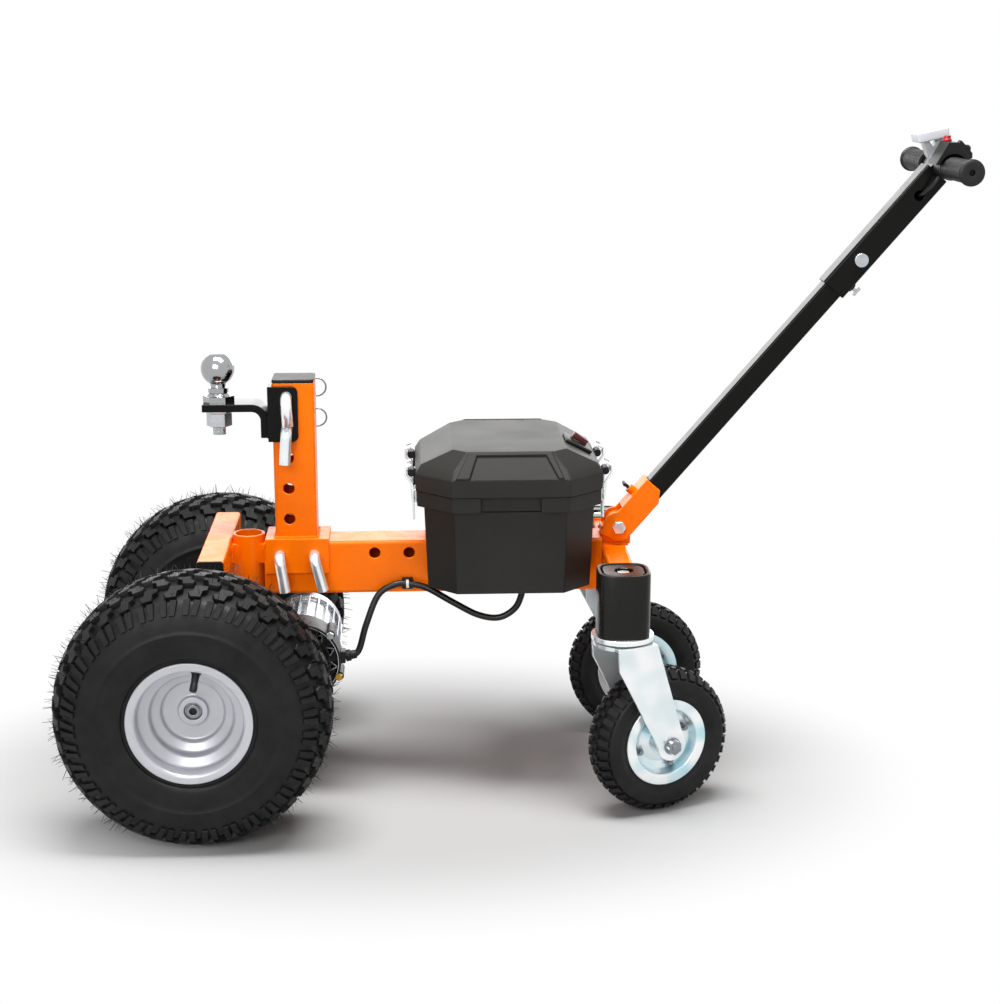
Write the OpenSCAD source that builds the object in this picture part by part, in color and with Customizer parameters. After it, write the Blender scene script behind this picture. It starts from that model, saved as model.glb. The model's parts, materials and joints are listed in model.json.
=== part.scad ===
// Electric trailer dolly: a steel beam on two driven turf wheels and two swivel casters,
// with a pinned tow-ball post, a battery box and a tilting, telescoping handle.
// Millimetres. +X runs from the ball end to the handle, +Z is up.
// The origin is on the floor, midway along and across the whole dolly.
// Lengths along X are given from the drive axle, and origin_x moves them to the origin.

/* [Drive wheels] */
// Diameter over the tread of a drive tyre
drive_tyre_d = 381; // [366:1:390]
// Width of a drive tyre over its side walls
drive_tyre_w = 152; // [144:1:156]
// Diameter over the flanges of a drive rim
drive_rim_d = 171; // [165:1:178]
// Width between the flanges of a drive rim
drive_rim_w = 132; // [124:1:136]
// Distance between the middles of the two drive tyres
drive_track = 450; // [446:1:480]
// Diameter of the drive shafts
shaft_d = 25; // [20:1:28]

/* [Casters] */
// Diameter over the tread of a caster tyre
caster_tyre_d = 212; // [204:1:213]
// Width of a caster tyre
caster_tyre_w = 62; // [56:1:66]
// Diameter over the flanges of a caster rim
caster_rim_d = 127; // [122:1:134]
// Distance between the two swivel axes
caster_track = 338; // [338:1:360]
// Offset from a swivel axis to its wheel's axle
caster_trail = 60; // [54:1:60]
// Angle the left caster stands turned by
caster_turn_left = 22; // [-40:1:40]
// Angle the right caster stands turned by
caster_turn_right = 4; // [-40:1:40]
// Height of the top of the caster plates
caster_plate_z = 270; // [264:1:274]
// Diameter of the round caster plates
caster_plate_d = 88; // [84:1:100]
// Width of the caster legs, which are square with cut corners
leg_w = 74; // [66:1:80]
// Height of the top of the caster legs
leg_top_z = 362; // [359:1:372]

/* [Beam and cross tubes] */
// Height of the underside of the main beam
beam_z = 293; // [288:1:298]
// Height of the main beam
beam_h = 78; // [72:1:82]
// Width of the main beam
beam_w = 64; // [58:1:68]
// Wall of the square and rectangular steel tubes
tube_wall = 4; // [3:0.5:5]
// Distance between two pin holes in the beam
beam_hole_pitch = 50; // [45:1:54]
// Diameter of the hitch pins
pin_d = 16; // [14:0.5:16.5]
// Width of the front cross tube
front_bar_w = 38; // [34:1:40]
// Height of the front cross tube
front_bar_h = 38; // [34:1:42]
// Length of the front cross tube without its end plugs
front_bar_l = 282; // [260:1:284]
// Width of the rear cross tube
cross_w = 36; // [32:1:40]
// Height of the rear cross tube
cross_h = 50; // [44:1:54]
// Outside diameter of the upright round socket
socket_d = 47; // [44:1:50]
// Bore of the upright round socket
socket_bore_d = 38; // [34:1:39]

/* [Tow-ball post] */
// Side of the square post
post_w = 60; // [54:1:64]
// Distance from the drive axle to the middle of the post
post_x = 133; // [130:1:136]
// Height of the top of the post tube
post_top_z = 604; // [602:1:630]
// Distance from the top of the post tube down to its highest pin hole
post_hole_top = 19; // [17:1:22]
// Distance between two pin holes in the post
post_hole_pitch = 45; // [42:1:46]
// Distance from the front face of the post to its pin holes
post_hole_in = 21; // [18:1:24]
// Diameter of the tow ball
ball_d = 48; // [47:0.5:51]
// Distance from the drive axle to the middle of the ball
ball_x = 25; // [22:1:30]
// Height of the middle of the ball over its plate
ball_rise = 48; // [44:1:54]
// Thickness of the ball plate
ball_plate_t = 11; // [9:1:13]
// Width of the ball plate
ball_plate_w = 52; // [46:1:60]

/* [Transaxle] */
// Outside diameter of the axle tubes
axle_tube_d = 48; // [44:1:52]
// Distance from the drive axle to the motor axis
motor_x = 138; // [134:1:142]
// Height of the motor axis
motor_z = 206; // [202:1:210]
// Diameter of the motor over its fins
motor_d = 112; // [104:1:116]
// Length of the finned part of the motor
motor_l = 112; // [100:1:120]
// Radius of the gear case around the axle
case_axle_r = 64; // [60:1:68]
// Radius of the gear case around the motor
case_motor_r = 58; // [56:1:60]
// Width of the gear case
case_w = 50; // [44:1:54]

/* [Battery box] */
// Length of the box over its lid
box_l = 266; // [256:1:270]
// Width of the box over its lid
box_w = 284; // [272:1:290]
// Distance from the drive axle to the front of the box
box_start = 306; // [304:1:312]
// Gap between the box and the rear cross tube
rear_gap = 6; // [5:1:10]
// Height of the underside of the box
box_z = 316; // [312:1:320]
// Height of the joint between box and lid
box_split_z = 459; // [454:1:464]
// Height of the upright part of the lid
lid_rim_h = 25; // [20:1:28]
// Height of the sloped part of the lid
lid_slope_h = 36; // [30:1:44]
// Corner cut of the lid seen from above
box_corner = 50; // [44:1:56]
// Wall of the box and lid
box_wall = 3.5; // [3:0.5:4]
// Gap between the ends of a battery and the box
battery_end_gap = 37; // [30:1:44]
// Gap between the side of a battery and the box
battery_side_gap = 7; // [5:1:10]

/* [Handle] */
// Height of the handle pivot
pivot_z = 385; // [384:1:392]
// Angle of the handle above the floor
handle_angle = 49.3; // [46:0.1:52]
// Distance that the handle tube runs below its pivot
tube_drop = 5; // [3:0.5:6]
// Side of the square lower handle tube
lower_tube_w = 30; // [28:0.5:32]
// Wall of the sleeve that slides on the lower tube
sleeve_wall = 3.5; // [3:0.5:4]
// Distance from the pivot to the lower end of the sleeve
sleeve_start = 460; // [440:1:480]
// Distance from the pivot to the handlebar
bar_reach = 690; // [675:1:704]
// Diameter of the handlebar
bar_d = 25; // [22:1:28]
// Length of the handlebar over its grips
bar_l = 316; // [296:1:340]
// Diameter of the grips
grip_d = 32; // [30:1:35]
// Diameter of the flange at the outer end of a grip
grip_end_d = 37; // [35:1:40]
// Distance from the middle of the handlebar to the inner end of a grip
grip_start = 54; // [52:1:60]
// Distance that the thumb lever reaches back from the handlebar
lever_reach = 26; // [24:1:28]
// Diameter of the pivot bolt
pivot_bolt_d = 12; // [10:1:14]
// Diameter of the motor cable
cable_d = 9.5; // [8:0.5:11]

/* [Hidden] */
$fn = 48;
// A shaft or pin turns in a hole this much larger, on the radius
run_gap = 0.05;
// Outer corner of the rectangular tubes
tube_r = 5;
// Parts of two moving bodies that seat on each other stay this far apart
seat_gap = 0.3;
// A tube slides in another with this gap on each side
slide_gap = 0.5;

axle_z = drive_tyre_d / 2;
wheel_y = drive_track / 2;
box_x = box_start + box_l / 2;
cross_front = box_start + box_l + rear_gap;
cross_x = cross_front + cross_w / 2;
caster_x = cross_x - 2;
pivot_x = cross_x + 7;
bar_x = pivot_x + bar_reach * cos(handle_angle) + tube_drop * sin(handle_angle);
origin_x = (bar_x + max(lever_reach, grip_end_d / 2) - drive_tyre_d / 2) / 2;
beam_top = beam_z + beam_h;
pin_hole_r = pin_d / 2 + 0.1;
leg_y = caster_track / 2;
leg_cut = 15;
post_front = post_x - post_w / 2;
post_hole_x = post_front + post_hole_in;
saddle_t = 6;
saddle_z = beam_top + saddle_t;
saddle_l = 92;
saddle_x = post_x + 1;
front_bar_x = 0;
front_bar_top = 374;
front_bar_end = front_bar_x + front_bar_w;
beam_front = front_bar_end + socket_d + 1;
socket_x = front_bar_end + socket_d / 2 + 0.5;
socket_z = beam_z - 1;
socket_top = 378;
cross_top = 358;
pin_row_z = beam_top - 18;
pin_pair_x = [saddle_x - beam_hole_pitch / 2, 246];
bracket_t = 6;
bracket_side_l = 43;
post_hole_first = post_top_z - post_hole_top;
post_hole_last = floor((post_hole_first - saddle_z - 20) / post_hole_pitch);
bracket_z = post_hole_first - post_hole_pitch - 20;
bracket_h = post_hole_pitch + 35;
ball_plate_top = bracket_z + 53;
ball_z = ball_plate_top + ball_rise;
case_near = -90;
case_far = case_near + case_w;
axle_tube_end = 138;
hub_back = 46;
hanger_y = 122;
hanger_t = 8;
motor_start = case_far;
lid_top = box_split_z + lid_rim_h + lid_slope_h;
box_inset = 17;
battery_l = box_l - 2 * (box_inset + box_wall + battery_end_gap);
battery_w = (box_w - beam_w) / 2 - 6 - box_inset - box_wall - battery_side_gap;
battery_h = box_split_z + lid_rim_h - box_z - 24;
grip_l = bar_l / 2 - grip_start;
sleeve_w = lower_tube_w + 2 * slide_gap + 2 * sleeve_wall;
sleeve_end = bar_reach - bar_d / 2;
lower_tube_start = 24;
lower_tube_end = sleeve_start + 110;
cheek_t = 5;
cheek_r = 22;
socket_l = 80;

// Every separate piece, by name
// One piece by name, or all of them

orange = [0.95, 0.43, 0.05];
black = [0.07, 0.07, 0.07];
zinc = [0.72, 0.73, 0.75];
rubber = [0.10, 0.10, 0.10];

// Shapes used more than once

module at_origin() translate([-origin_x, 0, 0]) children();

// A box from its low corner to its high corner
module block(low, high) translate(low) cube(high - low);

// A round bar along Y
module bar_y(r, y0, y1) translate([0, y0, 0]) rotate([-90, 0, 0]) cylinder(r = r, h = y1 - y0);

// A rectangle with rounded corners, centred
module soft_section(w, h, r) {
    square([w - 2 * r, h], center = true);
    square([w, h - 2 * r], center = true);
    for (sx = [-1, 1], sy = [-1, 1]) translate([sx * (w / 2 - r), sy * (h / 2 - r)]) circle(r = r);
}

// A rectangular tube along Z with rounded corners
module soft_tube(w, h, r, wall, l) difference() {
    linear_extrude(l) soft_section(w, h, r);
    translate([0, 0, -1]) linear_extrude(l + 2) soft_section(w - 2 * wall, h - 2 * wall, max(r - wall, 1));
}

// The same tube along X or Y, from its start, with w across and h upwards
module tube_x(w, h, r, wall, l) rotate([90, 0, 90]) soft_tube(w, h, r, wall, l);
module tube_y(w, h, r, wall, l) rotate([-90, 0, 0]) soft_tube(w, h, r, wall, l);

// A rectangle seen from above with cut corners, as eight points
function cut_rect(x0, x1, hy, c) = [[x0 + c, -hy], [x1 - c, -hy], [x1, -hy + c], [x1, hy - c],
    [x1 - c, hy], [x0 + c, hy], [x0, hy - c], [x0, -hy + c]];

// A solid between two such rectangles at two heights
module loft8(a, z0, b, z1) {
    low = [for (p = a) [p[0], p[1], z0]];
    high = [for (p = b) [p[0], p[1], z1]];
    polyhedron(points = concat(low, high),
        faces = concat([[0, 1, 2, 3, 4, 5, 6, 7], [15, 14, 13, 12, 11, 10, 9, 8]],
            [for (i = [0 : 7]) [i, i + 8, (i + 1) % 8 + 8, (i + 1) % 8]]));
}

// Wheel frame: the wheel's axis is Z and its outer side is +Z
module drive_place(side) translate([0, side * wheel_y, axle_z]) rotate([-90 * side, 0, 0]) children();

// Caster frame: Z is the swivel axis, X runs to the wheel
module caster_place(side) translate([caster_x, side * leg_y, 0]) rotate([0, 0, side < 0 ? caster_turn_left : caster_turn_right])
    children();

module caster_wheel_place(side) caster_place(side)
    translate([caster_trail, 0, caster_tyre_d / 2]) rotate([90, 0, 0]) children();

// Handle frame: X runs up the tube, Z is square to it on the upper side, the pivot is at 0
module on_handle() translate([pivot_x, 0, pivot_z]) rotate([0, -handle_angle, 0]) children();

// Tube frame: as the handle frame, on the middle of the handle tube
module on_tube() on_handle() translate([0, 0, -tube_drop]) children();

// Handlebar frame: as the tube frame, with the middle of the handlebar at 0
module on_bar() on_tube() translate([bar_reach, 0, 0]) children();

// The same place with X level and Z up
module on_bar_level() on_bar() rotate([0, handle_angle, 0]) children();

// An outline of X and Z, given a width along Y
module slab_y(y0, y1) translate([0, y1, 0]) rotate([90, 0, 0]) linear_extrude(y1 - y0) children();

// Points between p1 and p2 on a smooth line through p0, p1, p2 and p3
function curve_at(p0, p1, p2, p3, t) = 0.5 * (2 * p1 + (p2 - p0) * t
    + (2 * p0 - 5 * p1 + 4 * p2 - p3) * t * t + (3 * p1 - p0 - 3 * p2 + p3) * t * t * t);
function smooth(p, n) = let(k = len(p) - 1) concat([for (i = [0 : k - 1], j = [0 : n - 1])
    curve_at(p[max(i - 1, 0)], p[i], p[i + 1], p[min(i + 2, k)], j / n)], [p[k]]);
function unit(v) = v / norm(v);

// A round cable along a list of points
module cable(path, r) {
    n = len(path);
    sides = 10;
    rings = [for (i = [0 : n - 1])
        let(d = unit(path[min(i + 1, n - 1)] - path[max(i - 1, 0)]),
            u = unit(cross(d, [0.3, 1, 0.2])), v = cross(d, u))
        for (s = [0 : sides - 1]) path[i] + r * (u * cos(s * 360 / sides) + v * sin(s * 360 / sides))];
    polyhedron(points = rings, faces = concat([[for (s = [0 : sides - 1]) s]],
        [[for (s = [0 : sides - 1]) (n - 1) * sides + sides - 1 - s]],
        [for (i = [0 : n - 2], s = [0 : sides - 1]) [i * sides + s, (i + 1) * sides + s,
            (i + 1) * sides + (s + 1) % sides, i * sides + (s + 1) % sides]]));
}

// A hexagonal nut or bolt head
module hex(across, h) cylinder(r = across / 2 / cos(30), h = h, $fn = 6);

// Frame

module front_bar() color(orange)
    translate([front_bar_x + front_bar_w / 2, -front_bar_l / 2, front_bar_top - front_bar_h / 2])
        tube_y(front_bar_w, front_bar_h, tube_r, tube_wall, front_bar_l);

// Plates that carry the axle tubes under the front cross tube
module axle_hangers() color(orange) for (side = [-1, 1]) difference() {
    union() {
        translate([0, side * hanger_y + hanger_t / 2, 0]) rotate([90, 0, 0])
            linear_extrude(hanger_t) polygon([[front_bar_x, front_bar_top - front_bar_h],
                [front_bar_end, front_bar_top - front_bar_h], [36, axle_z], [-36, axle_z]]);
        translate([0, side * hanger_y, axle_z]) bar_y(36, -hanger_t / 2, hanger_t / 2);
    }
    translate([0, side * hanger_y, axle_z]) bar_y(axle_tube_d / 2 + run_gap, -20, 20);
}

// Open upright round tube between the front cross tube and the beam
module socket_tube() color(orange) difference() {
    union() {
        translate([socket_x, 0, socket_z]) cylinder(r = socket_d / 2, h = socket_top - socket_z);
        block([front_bar_end, -19, front_bar_top - front_bar_h], [beam_front, 19, beam_top - 6]);
    }
    translate([socket_x, 0, socket_z - 1]) cylinder(r = socket_bore_d / 2, h = 200);
}

module main_beam() color(orange) difference() {
    translate([beam_front, 0, beam_z + beam_h / 2])
        tube_x(beam_w, beam_h, tube_r, tube_wall, cross_front - beam_front);
    for (x0 = pin_pair_x, i = [0, 1])
        translate([x0 + i * beam_hole_pitch, 0, pin_row_z]) bar_y(pin_hole_r, -beam_w, beam_w);
}

// Saddle over the beam that the post stands on
module post_saddle() color(orange) difference() {
    union() {
        block([saddle_x - saddle_l / 2, -beam_w / 2 - saddle_t, beam_top],
            [saddle_x + saddle_l / 2, beam_w / 2 + saddle_t, saddle_z]);
        for (side = [-1, 1]) translate([0, side * (beam_w / 2 + saddle_t / 2), 0])
            block([saddle_x - saddle_l / 2, -saddle_t / 2, beam_top - 46],
                [saddle_x + saddle_l / 2, saddle_t / 2, beam_top]);
    }
    for (i = [0, 1]) translate([pin_pair_x[0] + i * beam_hole_pitch, 0, pin_row_z])
        bar_y(pin_hole_r, -beam_w, beam_w);
}

module ball_post() color(orange) difference() {
    translate([post_x, 0, saddle_z]) soft_tube(post_w, post_w, tube_r, tube_wall, post_top_z - saddle_z);
    for (i = [0 : post_hole_last]) translate([post_hole_x, 0, post_hole_first - i * post_hole_pitch])
        bar_y(pin_hole_r, -post_w, post_w);
}

// Push-in plugs at the top of the post and in the ends of the front cross tube
module tube_plugs() color(black) {
    translate([post_x, 0, post_top_z]) {
        linear_extrude(5) soft_section(post_w, post_w, tube_r);
        translate([0, 0, -8]) linear_extrude(8.5)
            soft_section(post_w - 2 * tube_wall - 0.4, post_w - 2 * tube_wall - 0.4, 1.5);
    }
    for (side = [-1, 1])
        translate([front_bar_x + front_bar_w / 2, side * front_bar_l / 2, front_bar_top - front_bar_h / 2])
            rotate([-90 * side, 0, 0]) {
                linear_extrude(3) soft_section(front_bar_w, front_bar_h, tube_r);
                translate([0, 0, -12]) linear_extrude(12.5) soft_section(front_bar_w - 2 * tube_wall - 0.4,
                    front_bar_h - 2 * tube_wall - 0.4, 1.5);
            }
}

// Tow ball and its height-adjustable bracket

// Bracket around three sides of the post, with a bent plate that carries the ball
module ball_bracket() color(black) {
    w = post_w / 2;
    leg_back = post_front - bracket_t;
    bend_r = 24;
    corner = 9;
    difference() {
        union() {
            block([leg_back, -w - bracket_t, bracket_z], [post_front, w + bracket_t, bracket_z + bracket_h]);
            for (side = [-1, 1]) translate([0, side * (w + bracket_t / 2), 0]) {
                block([post_front, -bracket_t / 2, bracket_z],
                    [leg_back + bracket_side_l - corner, bracket_t / 2, bracket_z + bracket_h]);
                block([post_front, -bracket_t / 2, bracket_z + corner],
                    [leg_back + bracket_side_l, bracket_t / 2, bracket_z + bracket_h - corner]);
                for (z = [bracket_z + corner, bracket_z + bracket_h - corner])
                    translate([leg_back + bracket_side_l - corner, 0, z])
                        bar_y(corner, -bracket_t / 2, bracket_t / 2);
            }
        }
        for (i = [0, 1]) translate([post_hole_x, 0, post_hole_first - i * post_hole_pitch])
            bar_y(pin_hole_r, -post_w, post_w);
    }
    difference() {
        union() {
            block([ball_x - 22, -ball_plate_w / 2, ball_plate_top - ball_plate_t],
                [leg_back - bend_r, ball_plate_w / 2, ball_plate_top]);
            block([leg_back - ball_plate_t, -ball_plate_w / 2, bracket_z + 4],
                [leg_back, ball_plate_w / 2, ball_plate_top - bend_r]);
            translate([leg_back - bend_r, 0, ball_plate_top - bend_r]) intersection() {
                difference() {
                    bar_y(bend_r, -ball_plate_w / 2, ball_plate_w / 2);
                    bar_y(bend_r - ball_plate_t, -ball_plate_w, ball_plate_w);
                }
                block([0, -ball_plate_w, 0], [bend_r + 1, ball_plate_w, bend_r + 1]);
            }
        }
        translate([ball_x, 0, ball_plate_top - 20]) cylinder(r = 10.3, h = 40);
    }
}

module tow_ball() color(zinc) {
    flat = sqrt(pow(ball_d / 2, 2) - 100);
    translate([ball_x, 0, 0]) {
        difference() {
            translate([0, 0, ball_z]) sphere(r = ball_d / 2);
            translate([0, 0, ball_z + flat]) cylinder(r = ball_d, h = 20);
        }
        translate([0, 0, ball_plate_top]) {
            hex(39, 9);
            translate([0, 0, 8]) cylinder(r1 = 18.5, r2 = 12, h = 7);
            translate([0, 0, 14]) cylinder(r = 14.5, h = 7);
            cylinder(r = 11, h = ball_rise - 10);
            translate([0, 0, -ball_plate_t - 36]) cylinder(r = 10, h = ball_plate_t + 40);
        }
    }
}

// Nut and washer under the ball plate
module ball_nut() color(zinc) translate([ball_x, 0, ball_plate_top - ball_plate_t]) difference() {
    union() {
        translate([0, 0, -4]) cylinder(r = 19, h = 4);
        translate([0, 0, -24]) hex(32, 20);
    }
    translate([0, 0, -40]) cylinder(r = 10 + run_gap, h = 60);
}

// A bent hitch pin through Y with its grip hanging on the left side, turned by lean
module bent_pin(face, tail, lean, grip) {
    r = pin_d / 2;
    bend = 13;
    difference() {
        union() {
            rotate([0, lean, 0]) {
                bar_y(r, -face - 4, tail);
                translate([0, -face - 4, -bend]) rotate([0, -90, 180])
                    rotate_extrude(angle = 90) translate([bend, 0]) circle(r = r, $fn = 24);
                translate([0, -face - 4 - bend, -bend - grip]) cylinder(r = r, h = grip);
            }
        }
        translate([-20, tail - 8, 0]) rotate([0, 90, 0]) cylinder(r = 1.25 + run_gap, h = 40, $fn = 24);
    }
}

// Rows of hitch pins: place along X, height, half width of what they cross,
// lean of the grip, length of the grip, turn of the wire clip
pin_rows = [
    [post_hole_x, post_hole_first - post_hole_pitch, post_w / 2 + bracket_t, 4, 36, 0],
    [post_hole_x, post_hole_first, post_w / 2 + bracket_t, -3, 26, 0],
    [pin_pair_x[0], pin_row_z, beam_w / 2 + saddle_t, -8, 38, 90],
    [pin_pair_x[0] + beam_hole_pitch, pin_row_z, beam_w / 2 + saddle_t, -14, 38, 90]];

module hitch_pins() color(zinc) for (p = pin_rows)
    translate([p[0], 0, p[1]]) rotate([0, p[5], 0]) bent_pin(p[2], p[2] + 18, p[3] - p[5], p[4]);

// Wire clips through the tails of the hitch pins
module pin_clips() color(zinc) for (p = pin_rows)
    translate([p[0], p[2] + 10, p[1]]) rotate([0, p[5], 0]) {
        translate([-11, 0, 0]) rotate([0, 90, 0]) cylinder(r = 1.25, h = 38, $fn = 24);
        translate([40, 0, 0]) rotate([90, 0, 0]) rotate_extrude()
            translate([13, 0]) circle(r = 1.25, $fn = 16);
    }

// Transaxle

// Outline of the gear case seen from the side: two rounds and the straight web between them
module case_outline() {
    tilt = atan2(motor_z - axle_z, motor_x);
    circle(r = case_axle_r);
    translate([motor_x, motor_z - axle_z]) circle(r = case_motor_r);
    rotate(tilt) polygon([[0, -case_axle_r + 2], [motor_x, -case_motor_r + 2],
        [motor_x, case_motor_r - 2], [0, case_axle_r - 2]]);
}

// Lugs that bolt the halves of the gear case together, by their angle around the motor
case_lugs = [112, 43, -22, -100];

module gear_case() color(black) {
    rib_in = case_motor_r - 14;
    rib_out = case_motor_r - 4;
    difference() {
        translate([0, case_far, axle_z]) rotate([90, 0, 0]) linear_extrude(case_w) case_outline();
        translate([motor_x, 0, motor_z]) difference() {
            bar_y(rib_out, case_near - 1, case_near + 7);
            bar_y(rib_in, case_near - 2, case_near + 8);
        }
        translate([motor_x, 0, motor_z]) bar_y(rib_in - 4, case_near - 1, case_near + 5);
    }
    // Zigzag ribs in the ring groove
    translate([motor_x, 0, motor_z]) for (i = [0 : 11], s = [-1, 1]) rotate([0, i * 30 + 7, 0])
        translate([(rib_in + rib_out) / 2, 0, s * 2.7]) rotate([0, s * 34, 0])
            block([-8, case_near + 0.6, -1.1], [8, case_near + 8, 1.1]);
    for (a = case_lugs) translate([motor_x, 0, motor_z]) rotate([0, -a, 0])
        translate([case_motor_r + 1, 0, 0]) bar_y(7, case_near + 4, case_far - 4);
    // Cable gland
    block([motor_x + case_motor_r - 8, case_near + 22, motor_z - 9],
        [motor_x + case_motor_r + 6, case_near + 40, motor_z + 9]);
}

// Tubes the drive shafts turn in, one from each side of the gear case
module axle_tubes() color(black) translate([0, 0, axle_z]) for (y = [[-axle_tube_end, case_near], [case_far, axle_tube_end]])
    difference() {
        bar_y(axle_tube_d / 2, y[0], y[1]);
        bar_y(shaft_d / 2 + run_gap, y[0] - 1, y[1] + 1);
    }

module motor() color(zinc) translate([motor_x, 0, motor_z]) {
    bar_y(motor_d / 2 - 8, motor_start, motor_start + motor_l);
    for (i = [0 : 23]) rotate([0, i * 15 + 7.5, 0])
        block([motor_d / 2 - 10, motor_start + 3, -1.5], [motor_d / 2, motor_start + motor_l - 3, 1.5]);
    bar_y(motor_d / 2 - 3, motor_start + motor_l, motor_start + motor_l + 22);
}

// Corner points of the cable from the gear case over the beam clip into the box
cable_path = [[motor_x + case_motor_r + 6 + seat_gap, case_near + 31, motor_z], [220, -58, 212], [232, -52, 250],
    [250, -42, 292], [274, -39, 307], [293, -39, 308], [320, -42, 303], [360, -54, 283], [395, -60, 266],
    [425, -62, 262], [448, -62, 275], [box_start + 152, -62, 296], [box_start + 154, -62, box_z - seat_gap]];

module motor_cable() color(black) cable(smooth(cable_path, 3), cable_d / 2);

// Clip that holds the cable on the beam
module cable_clip() color([0.9, 0.9, 0.88]) difference() {
    block([288, -39 - cable_d / 2 - 3.2, 299], [298, -beam_w / 2, 316.5]);
    translate([280, -39, 307.8]) rotate([0, 90, 0]) cylinder(r = cable_d / 2 + 1.6, h = 30);
}

// Battery box

box_x0 = box_x - box_l / 2;
box_x1 = box_x + box_l / 2;

function box_ring(inset, corner) =
    cut_rect(box_x0 + inset, box_x1 - inset, box_w / 2 - inset, box_corner - corner);

// Open box that straddles the beam
module battery_box() color(black) {
    tunnel = beam_w / 2 + 0.5;
    difference() {
        union() {
            loft8(box_ring(box_inset, 10), box_z, box_ring(12, 8), box_split_z - 22);
            loft8(box_ring(2, 1), box_split_z - 22, box_ring(2, 1), box_split_z);
        }
        difference() {
            loft8(box_ring(box_inset + box_wall, 11), box_z + box_wall,
                box_ring(12 + box_wall, 9), box_split_z + 1);
            block([box_x0, -tunnel - box_wall, box_z - 1], [box_x1, tunnel + box_wall, beam_top + box_wall]);
        }
        block([box_x0, -tunnel, box_z - 1], [box_x1, tunnel, beam_top]);
        // Finger recess under the lid on both sides
        for (side = [-1, 1]) translate([box_x, side * box_w / 2, box_split_z - 10])
            cube([84, 22, 24], center = true);
    }
}

// A battery on each side of the beam
module batteries() color([0.25, 0.25, 0.27]) for (side = [-1, 1])
    translate([box_x - battery_l / 2, side * (beam_w / 2 + 6 + battery_w / 2) - battery_w / 2, box_z + box_wall])
        cube([battery_l, battery_w, battery_h]);

// Rings of the hipped lid, from its eaves to its top: inset along X, inset along Y, corner cut, height
lid_eave = box_split_z + lid_rim_h;
lid_hip = 53;
lid_rings = [[0, 0, box_corner, lid_eave], [8, 9, box_corner - 4, lid_eave + lid_slope_h * 0.36],
    [lid_hip, 25, 20, lid_top]];
function lid_ring(i, t) = cut_rect(box_x0 + lid_rings[i][0] + t, box_x1 - lid_rings[i][0] - t,
    box_w / 2 - lid_rings[i][1] - t, lid_rings[i][2] - t * 0.6);

// Raised frame around the pocket in each long slope of the lid, along X from the middle of the box
// and up the slope from its middle
lid_frame = [[-77, -28], [-58, -28], [-47, 7], [50, 7], [66, -28], [74, -28], [58, 13], [-58, 13]];

module box_lid() color(black) {
    foot = box_split_z + seat_gap;
    slope = atan2(lid_slope_h * 0.64, 16);
    t = box_wall;
    difference() {
        union() {
            loft8(lid_ring(0, 0), foot, lid_ring(0, 0), lid_eave);
            for (i = [0, 1]) loft8(lid_ring(i, 0), lid_rings[i][3], lid_ring(i + 1, 0), lid_rings[i + 1][3]);
        }
        loft8(lid_ring(0, t), foot - 1, lid_ring(0, t), lid_eave - 1);
        loft8(lid_ring(0, t), lid_eave - 1.01, lid_ring(1, t), lid_rings[1][3] - 1);
        loft8(lid_ring(1, t), lid_rings[1][3] - 1.01, lid_ring(2, t), lid_top - t);
    }
    for (side = [-1, 1])
        translate([box_x, side * (box_w / 2 - 17), lid_eave + lid_slope_h * 0.68]) rotate([0, 0, side < 0 ? 0 : 180])
            rotate([slope, 0, 0]) translate([0, 0, -1.5]) linear_extrude(4.5) polygon(lid_frame);
}

// Rows of latches: end of the box, place across it
latch_rows = [[-1, -60], [-1, 60], [1, -60], [1, 60]];

// Base, lever and pull bar of each latch, on the box
module latches() color(zinc) for (t = latch_rows)
    translate([box_x + t[0] * (box_l / 2 - 2), t[1], 0]) rotate([0, 0, t[0] > 0 ? 0 : 180]) {
        block([0, -13, box_split_z - 21], [3, 13, box_split_z - 2]);
        block([3, -12, box_split_z - 46], [6, 12, box_split_z - 4]);
        translate([0, 0, box_split_z]) {
            for (side = [-1, 1]) translate([0, side * 16, 0]) slab_y(-1.5, 1.5) polygon([[4, -18], [7, -18], [9, 8],
                [17, 19], [17, 33], [8, 36], [8, 32.5], [14.5, 30.5], [14.5, 21], [6, 9], [4, 4]]);
            block([4, -16, -18], [7, 16, -13]);
            block([14.5, -16, 20], [17, 16, 32]);
        }
    }

// Hooks on the lid that the latches pull on
module latch_catches() color(black) for (t = latch_rows)
    translate([box_x + t[0] * box_l / 2, t[1], 0]) rotate([0, 0, t[0] > 0 ? 0 : 180]) {
        block([0, -10, box_split_z + 4], [3, 10, box_split_z + 23]);
        translate([5.5, 0, box_split_z + 22]) bar_y(5.5, -11, 11);
    }

// Key switch on the rear slope of the lid
module lid_switch() color([0.3, 0.03, 0.03])
    translate([box_x1 - 32, -20, lid_rings[1][3] + (lid_top - lid_rings[1][3]) * 24 / (lid_hip - 8)])
        rotate([0, atan2(lid_top - lid_rings[1][3], lid_hip - 8), 0]) {
            block([-19, -23, 0], [19, 23, 5]);
            translate([-5, 0, 0]) cylinder(r = 13, h = 12);
        }

// Rear end

module cross_tube() color(orange) {
    half = (caster_track - leg_w) / 2;
    translate([cross_x, -half, cross_top - cross_h / 2]) tube_y(cross_w, cross_h, tube_r, tube_wall, 2 * half);
}

// A square outline with cut corners, centred
module cut_square(w, c) polygon(cut_rect(-w / 2, w / 2, w / 2, c));

module caster_legs() color(black) for (side = [-1, 1]) translate([caster_x, side * leg_y, caster_plate_z])
    difference() {
        linear_extrude(leg_top_z - caster_plate_z) cut_square(leg_w, leg_cut);
        translate([0, 0, 8]) linear_extrude(leg_top_z) cut_square(leg_w - 12, leg_cut - 3.5);
    }

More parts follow.
